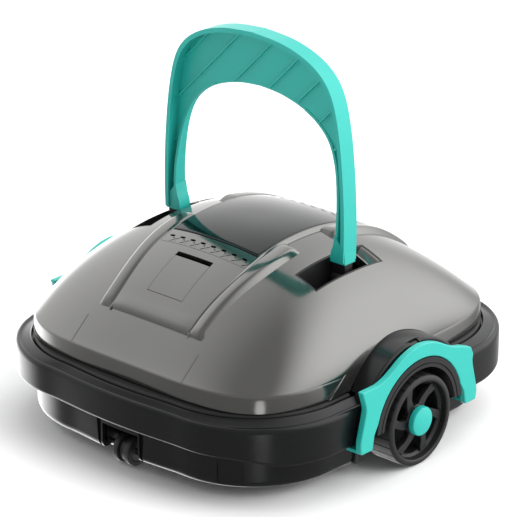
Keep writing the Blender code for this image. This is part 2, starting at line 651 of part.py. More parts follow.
def make_wells():
    for tag, sx in (("right", 1), ("left", -1)):
        x_low, x_high = sorted((sx * WELL_X_LOW, sx * WELL_X_HIGH))
        well = box(f"handle_well_{tag}", (x_low + GAP, WELL_FRONT + GAP, WELL_BOTTOM),
                   (x_high - GAP, WELL_REAR - GAP, 170))
        keep(well, loft(f"well_trim_{tag}", dome_rings()))
        cut(well,
            box(f"well_inside_{tag}", (x_low + 1.5, WELL_FRONT + 1.8, WELL_BOTTOM + 1.5),
                (x_high - 1.5, WELL_REAR - 1.8, 180)),
            cylinder(f"well_bore_{tag}", "X", (0, 0, HANDLE_PIVOT_Z), 3.2, x_low - 5, x_high + 5, 16))
        finish(well, BLACK, 40)
        pin = cylinder(f"handle_pin_{tag}", "X", (0, 0, HANDLE_PIVOT_Z), 2.9, x_low - 1.5, x_high + 1.5, 16)
        finish(pin, STEEL, 40)


# ---------------------------------------------------------------- latches


LATCH_TOP = [(0.0, 106.3), (12.0, 104.6), (24.0, 100.4), (34.0, 95.0), (44.0, 90.2), (54.0, 87.6)]
LATCH_LEG = [(68.8, 76.0), (68.0, 70.0), (70.2, 60.0), (73.0, 50.0), (74.5, 43.0), (74.0, 36.5)]
FRONT_EAR, REAR_EAR = (73.0, 87.6), (65.5, 83.0)


def latch_outline():
    """The latch seen along the axle: an arch over the fender with a shoulder on either leg."""
    inner = [(73.0, 33.3), (59.5, 33.3), (57.2, 46.0)]
    radius = FENDER_OUT + 0.6
    for step in range(9):
        angle = math.radians(16 + 74 * step / 8)
        inner.append((radius * math.cos(angle), AXLE_Z + radius * math.sin(angle)))
    halves = []
    for ear in (REAR_EAR, FRONT_EAR):
        halves.append(smooth_path(LATCH_TOP + [ear], 2) + smooth_path(LATCH_LEG, 2) + inner)
    rear, front = halves
    return rear + [(-y, z) for y, z in reversed(front[1:-1])]


def make_latch(tag, sx):
    x_low, x_high = sorted((sx * LATCH_IN, sx * LATCH_OUT))
    latch = outline(f"side_latch_{tag}", latch_outline(), "X", x_low, x_high)
    join(latch,
         cylinder(f"latch_knuckle_{tag}", "Y", (sx * LATCH_PIN_X, 0, LATCH_PIN_Z), 2.8, -10.5, 10.5, 16),
         box(f"latch_neck_{tag}", (min(sx * LATCH_PIN_X, sx * 174), -10.0, 101.8),
             (max(sx * LATCH_PIN_X, sx * 174), 10.0, 104.8)))
    for sy in (1, -1):
        join(latch, box(f"latch_hook_{tag}_{sy}", (min(sx * 161, sx * 174), min(sy * 63, sy * 78), 33.7),
                        (max(sx * 161, sx * 174), max(sy * 63, sy * 78), 36.3)))
    cut(latch, cylinder(f"latch_bore_{tag}", "Y", (sx * LATCH_PIN_X, 0, LATCH_PIN_Z), 1.5, -20, 20, 12))
    place_origin(latch, (sx * LATCH_PIN_X, 0, LATCH_PIN_Z))
    finish(latch, TEAL, 40)
    pin = cylinder(f"latch_pin_{tag}", "Y", (sx * LATCH_PIN_X, 0, LATCH_PIN_Z), 1.2, -14.0, 14.0, 12)
    finish(pin, STEEL, 40)


# ---------------------------------------------------------------- wheels and drive


def gear(name, teeth, bore, x_low, x_high, centre, phase):
    """A spur gear with straight-sided teeth, thinned a little so that it runs freely."""
    pitch = GEAR_MODULE * teeth / 2
    points = []
    for tooth in range(teeth):
        middle = 2 * math.pi * (tooth + phase) / teeth
        step = 2 * math.pi / teeth
        for radius, share in ((pitch - 1.6, -0.27), (pitch + 1.2, -0.11), (pitch + 1.2, 0.11),
                              (pitch - 1.6, 0.27)):
            angle = middle + share * step
            points.append((centre[0] + radius * math.cos(angle), centre[1] + radius * math.sin(angle)))
    made = outline(name, points, "X", x_low, x_high)
    if bore:
        cut(made, cylinder(name + "_bore", "X", (0, centre[0], centre[1]), bore, x_low - 3, x_high + 3, 24))
    return made


def make_wheel(tag, sx):
    def span(low, high):
        return sorted((sx * low, sx * high))

    middle = sx * (WHEEL_IN + WHEEL_OUT) / 2
    half = (WHEEL_OUT - WHEEL_IN) / 2
    tyre = turned(f"tyre_{tag}",
                  [(TYRE_INNER, half), (WHEEL_RADIUS - 2.5, half), (WHEEL_RADIUS, half - 3),
                   (WHEEL_RADIUS, 3 - half), (WHEEL_RADIUS - 2.5, -half), (TYRE_INNER, -half)],
                  (middle, 0, AXLE_Z), "X", 40)
    finish(tyre, RUBBER, 30)

    barrel = TYRE_INNER - GAP
    rim = turned(f"wheel_rim_{tag}",
                 [(29.5, half - 0.5), (barrel, half - 0.5), (barrel, 0.5 - half), (29.5, 0.5 - half)],
                 (middle, 0, AXLE_Z), "X", 32)
    low, high = span(WHEEL_IN + 0.5, WHEEL_IN + 3.5)
    back = cylinder(f"wheel_back_{tag}", "X", (0, 0, AXLE_Z), 30.5, low, high, 32)
    low, high = span(WHEEL_IN + 0.5, WHEEL_OUT - 3.5)
    hub = cylinder(f"wheel_hub_{tag}", "X", (0, 0, AXLE_Z), 11.0, low, high, 20)
    spokes = []
    low, high = span(WHEEL_OUT - 10.0, WHEEL_OUT - 4.2)
    for spoke in range(6):
        bar = box(f"spoke_{tag}_{spoke}", (low, -3.6, 9.0), (high, 3.6, 31.0))
        bar.data.transform(Matrix.Translation((0, 0, AXLE_Z * MM))
                           @ Matrix.Rotation(math.radians(60 * spoke + 30), 4, "X"))
        spokes.append(bar)
    join(rim, back, hub, *spokes)
    low, high = span(WHEEL_IN - 5, WHEEL_OUT + 5)
    cut(rim, cylinder(f"wheel_bore_{tag}", "X", (0, 0, AXLE_Z), AXLE_RADIUS + GAP, low, high, 24))
    finish(rim, BLACK, 30)

    # The cap's flat side faces the hub; its dome faces outwards.
    face, crown = WHEEL_OUT - 3.2, WHEEL_OUT + 2.8
    profile = [(0, crown), (5, crown - 0.5), (9.5, crown - 2.0), (12.6, crown - 4.4), (12.6, face), (0, face)]
    if sx < 0:
        profile = [(radius, -height) for radius, height in reversed(profile)]
    cap = turned(f"hub_cap_{tag}", profile, (0, 0, AXLE_Z), "X", 24, False)
    finish(cap, TEAL, 40)

    axle = cylinder(f"axle_{tag}", "X", (0, 0, AXLE_Z), AXLE_RADIUS, *span(115, WHEEL_OUT - 3.6), 24)
    finish(axle, STEEL, 40)
    wheel_gear = gear(f"wheel_gear_{tag}", WHEEL_TEETH, AXLE_RADIUS + GAP, *span(GEAR_LOW, GEAR_HIGH),
                      (0, AXLE_Z), 0.0)
    finish(wheel_gear, WHITE)
    pivot(f"wheel_axis_{tag}", (0, 0, AXLE_Z), tyre, rim, cap, axle, wheel_gear)

    pinion = gear(f"drive_pinion_{tag}", PINION_TEETH, 0, *span(GEAR_LOW, GEAR_HIGH), (PINION_Y, AXLE_Z), 0.5)
    join(pinion, cylinder(f"pinion_shaft_{tag}", "X", (0, PINION_Y, AXLE_Z), 2.0, *span(112, GEAR_LOW + 1), 24))
    place_origin(pinion, (sx * GEAR_LOW, PINION_Y, AXLE_Z))
    finish(pinion, STEEL)

    motor = cylinder(f"drive_motor_{tag}", "X", (0, PINION_Y, AXLE_Z), 13.0, *span(76, 104), 32)
    join(motor, box(f"gearbox_{tag}", (span(103.5, 123)[0], PINION_Y - 11, AXLE_Z - 13),
                    (span(103.5, 123)[1], PINION_Y + 14, AXLE_Z + 13)))
    cut(motor, cylinder(f"motor_bore_{tag}", "X", (0, PINION_Y, AXLE_Z), 2.35, *span(110, 130), 24))
    finish(motor, STEEL, 40)


# ---------------------------------------------------------------- rollers


def make_roller(end, sy):
    centre = (0, sy * ROLLER_Y, ROLLER_RADIUS)
    groove, low = ROLLER_HALF - 6.0, ROLLER_RADIUS - 3.5
    roller = turned(f"{end}_roller",
                    [(3.2, ROLLER_HALF), (low, ROLLER_HALF), (low, groove), (ROLLER_RADIUS - 2.0, groove),
                     (ROLLER_RADIUS - 2.0, -groove), (low, -groove), (low, -ROLLER_HALF), (3.2, -ROLLER_HALF)],
                    centre, "X", 24)
    finish(roller, BLACK, 40)
    children = [roller]
    for tag, sx in (("right", 1), ("left", -1)):
        inner, outer = sorted((sx * (groove + GAP), sx * ROLLER_HALF))
        tyre = turned(f"{end}_roller_tyre_{tag}",
                      [(low + GAP, outer), (ROLLER_RADIUS, outer), (ROLLER_RADIUS, inner), (low + GAP, inner)],
                      centre, "X", 32)
        finish(tyre, RUBBER, 30)
        children.append(tyre)
    pivot(f"{end}_roller_axis", centre, *children)
    axle = cylinder(f"{end}_roller_axle", "X", centre, 2.6, -RECESS_X - 2.5, RECESS_X + 2.5, 16)
    finish(axle, STEEL, 40)


# ---------------------------------------------------------------- inside


def make_deck():
    deck = loft("inner_deck", [grown(BASE_X, BASE_Y, BASE_CORNER, -8.0, DECK_LOW),
                               grown(BASE_X, BASE_Y, BASE_CORNER, -8.0, DECK_HIGH)])
    cut(deck, cylinder("deck_opening", "Z", (0, 0, 0), 29.0, 60, 90, 32))
    for sx in (1, -1):
        cut(deck, box(f"deck_side_{sx}", (min(sx * 139, sx * 160), -64, 60), (max(sx * 139, sx * 160), 64, 90)))
        for sy in (1, -1):
            cut(deck, cylinder(f"deck_hole_{sx}_{sy}", "Z", (sx * POST_X, sy * POST_Y, 0), 2.3, 60, 90, 12))
    finish(deck, DARK, 40)
    for tag, sx in (("right", 1), ("left", -1)):
        screw = turned(f"deck_screw_{tag}",
                       [(0, 76.6), (2.6, 76.6), (3.8, 75.6), (3.8, DECK_HIGH + GAP), (1.9, DECK_HIGH + GAP),
                        (1.9, 56), (0, 55)], (sx * POST_X, sx * POST_Y, 0), "Z", 12, False)
        finish(screw, STEEL, 40)


def make_pump():
    housing = turned("pump_housing", [(30, 132), (33, 132), (33, 77), (40, 77), (40, DECK_HIGH + GAP),
                                      (30, DECK_HIGH + GAP)], (0, 0, 0), "Z", 24)
    spider = cylinder("pump_spider", "Z", (0, 0, 0), 31.5, 84, 87, 24)
    holes = [cylinder(f"spider_hole_{i}", "Z",
                      (24 * math.cos(math.radians(60 * i)), 24 * math.sin(math.radians(60 * i)), 0),
                      5.0, 80, 90, 10) for i in range(6)]
    cut(spider, cylinder("spider_bore", "Z", (0, 0, 0), 17.4, 80, 90, 24), *holes)
    join(housing, spider)
    finish(housing, WHITE, 40)
    motor = turned("pump_motor", [(0, 100), (3.0, 100), (3.0, 110), (10, 110), (17, 106), (17, 90.3),
                                  (20.5, 90.3), (20.5, 87.3), (17, 87.3), (17, 60), (0, 60)],
                   (0, 0, 0), "Z", 24, False)
    finish(motor, STEEL, 40)
    impeller = cylinder("impeller", "Z", (0, 0, 0), 8.0, 112, 122, 24)
    for blade in range(4):
        plate = box(f"blade_{blade}", (4, -1.0, -7.0), (27.5, 1.0, 7.0))
        plate.data.transform(Matrix.Translation((0, 0, 117 * MM))
                             @ Matrix.Rotation(math.radians(90 * blade), 4, "Z")
                             @ Matrix.Rotation(math.radians(55), 4, "X"))
        join(impeller, plate)
    join(impeller, cylinder("impeller_shaft", "Z", (0, 0, 0), 2.5, 101, 124, 16))
    place_origin(impeller, (0, 0, 117))
    finish(impeller, WHITE)


def make_filter():
    frame = box("filter_frame", (-68, -34, 46), (68, 34, 70))
    cut(frame, box("filter_inside", (-66, -32, 48), (66, 32, 80)))
    for i in range(4):
        for j in range(2):
            x, y = -48 + 32 * i, -15.5 + 31 * j
            cut(frame, box(f"filter_window_{i}_{j}", (x - 13.5, y - 13, 40), (x + 13.5, y + 13, 50)))
    finish(frame, WHITE, 40)
    finish(box("filter_mesh", (-65.7, -31.7, 48.3), (65.7, 31.7, 49.1)), BLACK)


def make_flap(end, sy):
    pin_y, pin_z = sy * (FLAP_Y + 14), 17.2
    y_low, y_high = sorted((sy * (FLAP_Y - 10), pin_y - sy * 1.0))
    flap = box(f"intake_flap_{end}", (-50.5, y_low, 14.4), (50.5, y_high, 16.0))
    join(flap, cylinder(f"flap_knuckle_{end}", "X", (0, pin_y, pin_z), 2.7, -50.5, 50.5, 16),
         cylinder(f"flap_pins_{end}", "X", (0, pin_y, pin_z), 1.5, -56, 56, 12))
    place_origin(flap, (0, pin_y, pin_z))
    finish(flap, RUBBER, 40)


def make_contents():
    finish(box("battery_pack", (-50, -120, DECK_HIGH + GAP), (50, -48, 104)), BLACK)
    finish(box("control_box", (-46, 58, DECK_HIGH + GAP), (46, 116, 98)), GREEN)


# ---------------------------------------------------------------- the assembly

make_base()
make_rim()
make_seals()
make_shell()
make_cover()
make_hatch()
make_handle()
make_wells()
make_deck()
make_pump()
make_filter()
make_contents()
for tag, sx in (("right", 1), ("left", -1)):
    make_fender(tag, sx)
    make_latch(tag, sx)
    make_wheel(tag, sx)
for end, sy in (("front", -1), ("rear", 1)):
    make_roller(end, sy)
    make_flap(end, sy)
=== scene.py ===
"""Looks of the pool cleaner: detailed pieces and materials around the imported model. Lengths are millimetres."""

import json
import math

import bmesh
import bpy
import numpy as np
from mathutils import Matrix, Vector

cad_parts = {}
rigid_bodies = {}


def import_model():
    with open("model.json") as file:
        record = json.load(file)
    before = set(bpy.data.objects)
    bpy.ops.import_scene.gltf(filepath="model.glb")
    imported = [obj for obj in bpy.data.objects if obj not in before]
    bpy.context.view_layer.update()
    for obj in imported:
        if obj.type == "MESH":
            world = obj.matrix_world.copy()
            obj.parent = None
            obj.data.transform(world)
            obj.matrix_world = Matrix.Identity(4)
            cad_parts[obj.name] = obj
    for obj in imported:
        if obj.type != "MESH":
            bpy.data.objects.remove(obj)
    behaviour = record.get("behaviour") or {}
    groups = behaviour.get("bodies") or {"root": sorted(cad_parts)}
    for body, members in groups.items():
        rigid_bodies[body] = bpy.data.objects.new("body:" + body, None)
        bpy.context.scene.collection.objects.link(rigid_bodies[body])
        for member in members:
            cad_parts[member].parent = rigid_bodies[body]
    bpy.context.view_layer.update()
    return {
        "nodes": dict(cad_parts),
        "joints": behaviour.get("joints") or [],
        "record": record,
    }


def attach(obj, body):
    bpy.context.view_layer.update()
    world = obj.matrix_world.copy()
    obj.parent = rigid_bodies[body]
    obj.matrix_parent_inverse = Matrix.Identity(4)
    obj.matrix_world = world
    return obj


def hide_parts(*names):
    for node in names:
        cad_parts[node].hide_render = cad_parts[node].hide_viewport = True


for old in list(bpy.data.objects):
    bpy.data.objects.remove(old)
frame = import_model()

MM = 0.001
SIDES = (("right", 1), ("left", -1))
ENDS = (("front", -1), ("rear", 1))

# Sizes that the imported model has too
BASE_X, BASE_Y, BASE_CORNER = 155.0, 169.0, 86.0
RIM_X, RIM_Y, RIM_CORNER = 170.0, 181.0, 89.5
SIDE_BOW = 4.0
BASE_BOTTOM, BASE_TOP = 11.0, 70.0
RIM_LOW_FRONT, RIM_LOW_SIDE = 44.0, 37.0
DOME_X, DOME_Y, DOME_POWER = 151.5, 162.8, 4.37
SHELL_BOTTOM, SKIRT_TOP, DOME_RISE = 76.9, 91.7, 77.4
AXLE_Z = 39.0
WHEEL_IN, WHEEL_OUT = 146.7, 178.7
SPOKES, TREADS = 6, 28
FENDER_IN, FENDER_OUT, FENDER_FACE = 45.5, 54.0, 177.0
BULGE_RADIUS, BULGE_IN, BULGE_OUT = 69.0, 141.0, 170.3
LATCH_IN, LATCH_OUT = 171.2, 177.2
LATCH_PIN_X, LATCH_PIN_Z = 167.0, 103.3
HANDLE_PIVOT_Z, HANDLE_X = 140.0, 92.5
ROLLER_Y, ROLLER_RADIUS = 156.0, 12.5
COVER_X, COVER_FRONT_X, COVER_Y = 49.0, 43.5, 131.0
HATCH_LOW_Y, HATCH_HIGH_Y, HATCH_HALF = -114.3, -76.3, 19.8
VENT_FRONT_Y, VENT_REAR_Y = (-69.2, -53.8), (60.2, 71.8)
SLOT_X, SLOT_Y = (81.0, 104.0), (-46.0, 38.0)
GAP, WALL = 0.3, 2.5
HATCH_AXIS_Y = -111.2


# ------------------------------------------------------------------ materials


def node(tree, kind, **values):
    made = tree.nodes.new(kind)
    for name, value in values.items():
        if name in made.inputs:
            made.inputs[name].default_value = value
        else:
            setattr(made, name, value)
    return made


def plastic(name, colour, second, roughness, spread, grain, depth, metallic=0.0, specular=0.5, coat=0.0):
    """A moulded plastic: colour drifts between two tones, gloss varies a little and the skin has a fine grain."""
    made = bpy.data.materials.new(name)
    made.use_nodes = True
    tree = made.node_tree
    shader = tree.nodes["Principled BSDF"]
    shader.inputs["Metallic"].default_value = metallic
    shader.inputs["Specular IOR Level"].default_value = specular
    shader.inputs["Coat Weight"].default_value = coat
    shader.inputs["Coat Roughness"].default_value = 0.06
    place = node(tree, "ShaderNodeTexCoord")
    drift = node(tree, "ShaderNodeTexNoise", Scale=14.0, Detail=3.0)
    mix = node(tree, "ShaderNodeMix", data_type="RGBA")
    mix.inputs["A"].default_value = (*colour, 1)
    mix.inputs["B"].default_value = (*second, 1)
    cloud = node(tree, "ShaderNodeTexNoise", Scale=55.0, Detail=4.0)
    gloss = node(tree, "ShaderNodeMapRange")
    gloss.inputs["To Min"].default_value = max(roughness - spread, 0.02)
    gloss.inputs["To Max"].default_value = roughness + spread
    fine = node(tree, "ShaderNodeTexNoise", Scale=grain, Detail=2.0)
    bump = node(tree, "ShaderNodeBump", Strength=depth, Distance=0.0002)
    wire = tree.links.new
    for texture in (drift, cloud, fine):
        wire(place.outputs["Object"], texture.inputs["Vector"])
    wire(drift.outputs["Fac"], mix.inputs["Factor"])
    wire(mix.outputs["Result"], shader.inputs["Base Color"])
    wire(cloud.outputs["Fac"], gloss.inputs["Value"])
    wire(gloss.outputs["Result"], shader.inputs["Roughness"])
    wire(fine.outputs["Fac"], bump.inputs["Height"])
    wire(bump.outputs["Normal"], shader.inputs["Normal"])
    return made


MATERIALS = {
    "grey_shell": plastic("shell_paint", (0.215, 0.213, 0.206), (0.198, 0.197, 0.192), 0.13, 0.03, 900, 0.03, 0.93,
                          coat=0.15),
    "smoked_window": plastic("smoked_panel", (0.034, 0.035, 0.036), (0.029, 0.030, 0.031), 0.08, 0.02, 700, 0.02,
                             0.93, coat=0.3),
    "dark_plastic": plastic("charcoal_plastic", (0.0060, 0.0064, 0.0070), (0.0075, 0.0078, 0.0084), 0.22, 0.05,
                            1500, 0.10, specular=0.38),
    "black_plastic": plastic("black_plastic", (0.010, 0.010, 0.011), (0.014, 0.014, 0.015), 0.42, 0.08, 2200, 0.2),
    "teal_plastic": plastic("teal_plastic", (0.018, 0.440, 0.385), (0.021, 0.460, 0.400), 0.36, 0.06, 1800, 0.12),
    "rubber": plastic("soft_rubber", (0.009, 0.009, 0.009), (0.013, 0.013, 0.013), 0.62, 0.08, 2600, 0.3),
    "tyre_rubber": plastic("tyre_rubber", (0.014, 0.014, 0.014), (0.020, 0.020, 0.020), 0.50, 0.08, 2600, 0.35),
    "steel": plastic("brushed_steel", (0.55, 0.55, 0.56), (0.62, 0.62, 0.62), 0.28, 0.08, 3000, 0.2, 1.0),
    "white_plastic": plastic("white_plastic", (0.72, 0.73, 0.73), (0.66, 0.67, 0.67), 0.4, 0.06, 1800, 0.15),
    "board_green": plastic("potting_green", (0.03, 0.20, 0.08), (0.02, 0.15, 0.06), 0.45, 0.1, 1200, 0.3),
}
SLOT_OF = {row["node"]: row["material_slot"] for row in frame["record"]["subparts"]}
for name, cad in frame["nodes"].items():
    cad.data.materials.clear()
    cad.data.materials.append(MATERIALS[SLOT_OF[name]])


# ------------------------------------------------------------------ mesh helpers


def link(name, mesh):
    obj = bpy.data.objects.new(name, mesh)
    bpy.context.scene.collection.objects.link(obj)
    return obj


def from_bmesh(name, bm):
    bmesh.ops.recalc_face_normals(bm, faces=bm.faces)
    mesh = bpy.data.meshes.new(name)
    bm.to_mesh(mesh)
    bm.free()
    return link(name, mesh)


def span(side, low, high):
    return sorted((side * low, side * high))


def box(low, high, name="cutter", turn=None):
    low, high = Vector(low), Vector(high)
    bm = bmesh.new()
    bmesh.ops.create_cube(bm, size=1.0)
    bmesh.ops.scale(bm, vec=(high - low) * MM, verts=bm.verts)
    bmesh.ops.translate(bm, vec=(low + high) / 2 * MM, verts=bm.verts)
    if turn is not None:
        bmesh.ops.transform(bm, matrix=turn, verts=bm.verts)
    return from_bmesh(name, bm)


def about_x(angle, y=0.0, z=0.0):
    """Turns by angle in degrees about the line along X through (y, z)."""
    move = Matrix.Translation(Vector((0, y, z)) * MM)
    return move @ Matrix.Rotation(math.radians(angle), 4, "X")


def along(axis):
    if axis == "X":
        return Matrix.Rotation(math.radians(90), 4, "Y")
    if axis == "Y":
        return Matrix.Rotation(math.radians(-90), 4, "X")
    return Matrix.Identity(4)


def cylinder(axis, centre, radius, start, end, segments=64, name="cutter"):
    index = "XYZ".index(axis)
    middle = Vector(centre)
    middle[index] = (start + end) / 2
    bm = bmesh.new()
    bmesh.ops.create_cone(bm, cap_ends=True, segments=segments, radius1=radius * MM, radius2=radius * MM,
                          depth=abs(end - start) * MM)
    bmesh.ops.transform(bm, matrix=Matrix.Translation(middle * MM) @ along(axis), verts=bm.verts)
    return from_bmesh(name, bm)


def lathe(name, profile, centre, axis="X", segments=96):
    """Turns (radius, height) points about the axis. A profile with both ends off the axis closes on itself."""
    bm = bmesh.new()
    matrix = Matrix.Translation(Vector(centre) * MM) @ along(axis)
    rows = []
    for radius, height in profile:
        if radius < 1e-6:
            rows.append([bm.verts.new(matrix @ Vector((0, 0, height * MM)))])
            continue
        row = []
        for i in range(segments):
            angle = 2 * math.pi * i / segments
            point = Vector((radius * math.cos(angle) * MM, radius * math.sin(angle) * MM, height * MM))
            row.append(bm.verts.new(matrix @ point))
        rows.append(row)
    pairs = list(zip(rows, rows[1:]))
    if len(rows[0]) > 1 and len(rows[-1]) > 1:
        pairs.append((rows[-1], rows[0]))
    for upper, lower in pairs:
        for i in range(segments):
            j = (i + 1) % segments
            corners = [upper[i % len(upper)], lower[i % len(lower)], lower[j % len(lower)], upper[j % len(upper)]]
            bm.faces.new(list(dict.fromkeys(corners)))
    return from_bmesh(name, bm)


def band(name, rings, closed=True):
    """A skin through rings of points. Closed, the rings go once round a ring's cross-section."""
    bm = bmesh.new()
    rows = [[bm.verts.new(Vector(point) * MM) for point in ring] for ring in rings]
    count = len(rings[0])
    pairs = list(zip(rows, rows[1:] + (rows[:1] if closed else [])))
    for low, high in pairs:
        for i in range(count):
            j = (i + 1) % count
            bm.faces.new((low[i], low[j], high[j], high[i]))
    if not closed:
        bm.faces.new(list(reversed(rows[0])))
        bm.faces.new(rows[-1])
    return from_bmesh(name, bm)


def outline(name, points, axis, low, high):
    """A flat outline extruded from low to high along axis X or Y."""
    bm = bmesh.new()
    place = (lambda u, v, w: (w, u, v)) if axis == "X" else (lambda u, v, w: (u, w, v))
    rows = [[bm.verts.new(Vector(place(u, v, w)) * MM) for u, v in points] for w in (low, high)]
    count = len(points)
    for i in range(count):
        j = (i + 1) % count
        bm.faces.new((rows[0][i], rows[0][j], rows[1][j], rows[1][i]))
    bm.faces.new(rows[0])
    bm.faces.new(list(reversed(rows[1])))
    return from_bmesh(name, bm)


def baked(obj):
    """Replaces the mesh by what its modifiers make of it."""
    bpy.context.view_layer.update()
    mesh = bpy.data.meshes.new_from_object(obj.evaluated_get(bpy.context.evaluated_depsgraph_get()))
    obj.modifiers.clear()
    obj.data = mesh
    return obj


def boolean(obj, operation, others):
    group = bpy.data.collections.new("operands")
    bpy.context.scene.collection.children.link(group)
    for other in others:
        group.objects.link(other)
    modifier = obj.modifiers.new("boolean", "BOOLEAN")
    modifier.operation = operation
    modifier.solver = "EXACT"
    modifier.operand_type = "COLLECTION"
    modifier.collection = group
    baked(obj)
    for other in others:
        bpy.data.objects.remove(other)
    bpy.data.collections.remove(group)
    return obj


def join(obj, *others):
    return boolean(obj, "UNION", others)


def cut(obj, *others):
    return boolean(obj, "DIFFERENCE", others)


def keep(obj, other):
    modifier = obj.modifiers.new("keep", "BOOLEAN")
    modifier.operation = "INTERSECT"
    modifier.solver = "EXACT"
    modifier.object = other
    baked(obj)
    bpy.data.objects.remove(other)
    return obj


def bevel(obj, width, segments=2, angle=35):
    modifier = obj.modifiers.new("bevel", "BEVEL")
    modifier.width = width * MM
    modifier.segments = segments
    modifier.limit_method = "ANGLE"
    modifier.angle_limit = math.radians(angle)
    modifier.use_clamp_overlap = True
    return baked(obj)


def piece(obj, body, slot, *nodes, angle=35, weighted=True):
    """Gives a finished piece its shading, the material of the named slot and its body, and hides the CAD nodes that
    it stands for.
    """
    obj.data.materials.clear()
    obj.data.materials.append(MATERIALS[slot])
    obj.data.shade_smooth()
    obj.data.set_sharp_from_angle(angle=math.radians(angle))
    if weighted:
        modifier = obj.modifiers.new("weighted", "WEIGHTED_NORMAL")
        modifier.keep_sharp = True
        modifier.weight = 50
    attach(obj, body)
    if nodes:
        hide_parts(*nodes)
    return obj


def smoothstep(low, high, value):
    t = min(max((value - low) / (high - low), 0.0), 1.0)
    return t * t * (3 - 2 * t)


def smooth_path(knots, steps=10):
    points = []
    padded = [knots[0]] + list(knots) + [knots[-1]]
    for a, b, c, d in zip(padded, padded[1:], padded[2:], padded[3:]):
        for step in range(steps):
            t = step / steps
            points.append(tuple(
                0.5 * (2 * q + (r - p) * t + (2 * p - 5 * q + 4 * r - s) * t**2 + (3 * q - p - 3 * r + s) * t**3)
                for p, q, r, s in zip(a, b, c, d)))
    points.append(tuple(knots[-1]))
    return points


def mirrored(points):
    return list(points) + [(-u, v) for u, v in reversed(points[:-1])]


def plan_ring(half_x, half_y, corner, z, bow=SIDE_BOW, arc=22, side=18):
    """A rectangle with round corners and sides that bow outwards. z is a height or a function of x."""
    flat_x, flat_y = half_x - bow - corner, half_y - bow - corner
    points = []
    for quarter, (sx, sy) in enumerate(((1, 1), (-1, 1), (-1, -1), (1, -1))):
        for step in range(arc + 1):
            angle = math.radians(90 * (quarter + step / arc))
            points.append((sx * flat_x + corner * math.cos(angle), sy * flat_y + corner * math.sin(angle)))
        for step in range(1, side + 1):
            u = 2 * step / (side + 1) - 1
            out = bow * (1 - u * u) ** 2 * (1 + 0.5 * u * u)
            if quarter in (0, 2):
                points.append((-sx * u * flat_x, sy * (half_y - bow + out)))
            else:
                points.append((sx * (half_x - bow + out), -sy * u * flat_y))
    return [Vector((x, y, z(x) if callable(z) else z)) for x, y in points]


def base_ring(grow, z):
    return plan_ring(BASE_X + grow, BASE_Y + grow, BASE_CORNER + grow, z)


def rim_ring(grow, z):
    return plan_ring(RIM_X + grow, RIM_Y + grow, RIM_CORNER + grow, z)


def between(ring_a, ring_b, share, z):
    """A ring part way from one to another, at a height of its own."""
    return [Vector((*(a.lerp(b, share)).xy, z)) for a, b in zip(ring_a, ring_b)]


# ------------------------------------------------------------------ dome


def level(h):
    across = (DOME_X - 1) * (1 - h**1.78) ** (1 / 2.47)
    along_y = (DOME_Y - 1) * (1 - h**0.88) ** (1 / 2.37)
    return across, along_y, DOME_POWER - 2.34 * h


def dome_heights(x, y):
    """Heights of the dome over arrays of points, found by halving the level."""
    x, y = np.abs(np.asarray(x, float)), np.abs(np.asarray(y, float))
    low, high = np.zeros_like(x), np.ones_like(x)
    for _ in range(24):
        middle = (low + high) / 2
        across, along_y, power = level(middle)
        inside = (x / np.maximum(across, 1e-9)) ** power + (y / np.maximum(along_y, 1e-9)) ** power < 1
        low, high = np.where(inside, middle, low), np.where(inside, high, middle)
    return SKIRT_TOP + DOME_RISE * low


def dome_height(x, y):
    return float(dome_heights([x], [y])[0])


def dome_ring(half_x, half_y, power, z, count=256):
    points = []
    for i in range(count):
        angle = 2 * math.pi * (i + 0.5) / count
        c, s = math.cos(angle), math.sin(angle)
        reach = (abs(c) ** power + abs(s) ** power) ** (-1 / power)
        points.append(Vector((half_x * reach * c, half_y * reach * s, z)))
    return points


def drape(obj):
    """Lifts a flat piece, whose heights count from the dome, onto the dome."""
    mesh = obj.data
    co = np.empty(len(mesh.vertices) * 3, np.float32)
    mesh.vertices.foreach_get("co", co)
    co = co.reshape(-1, 3)
    co[:, 2] += dome_heights(co[:, 0] / MM, co[:, 1] / MM) * MM
    mesh.vertices.foreach_set("co", co.ravel())
    mesh.update()
    return obj


def sheet(name, xs, ys, top, under):
    """A plate on the grid xs by ys, between the heights top(x, y) and under, counted from the dome."""
    bm = bmesh.new()
    layers = []
    for height in (under, top):
        layers.append([[bm.verts.new(Vector((x, y, height(x, y) if callable(height) else height)) * MM)
                        for x in (xs(y) if callable(xs) else xs)] for y in ys])
    low, high = layers
    rows, columns = len(ys), len(low[0])
    for j in range(rows - 1):
        for i in range(columns - 1):
            bm.faces.new((low[j][i], low[j + 1][i], low[j + 1][i + 1], low[j][i + 1]))
            bm.faces.new((high[j][i], high[j][i + 1], high[j + 1][i + 1], high[j + 1][i]))
    edge = [(0, i) for i in range(columns - 1)] + [(j, columns - 1) for j in range(rows - 1)]
    edge += [(rows - 1, i) for i in range(columns - 1, 0, -1)] + [(j, 0) for j in range(rows - 1, 0, -1)]
    for (j, i), (j2, i2) in zip(edge, edge[1:] + edge[:1]):
        bm.faces.new((low[j][i], low[j2][i2], high[j2][i2], high[j][i]))
    return from_bmesh(name, bm)


def steps(low, high, count):
    return [low + (high - low) * i / count for i in range(count + 1)]


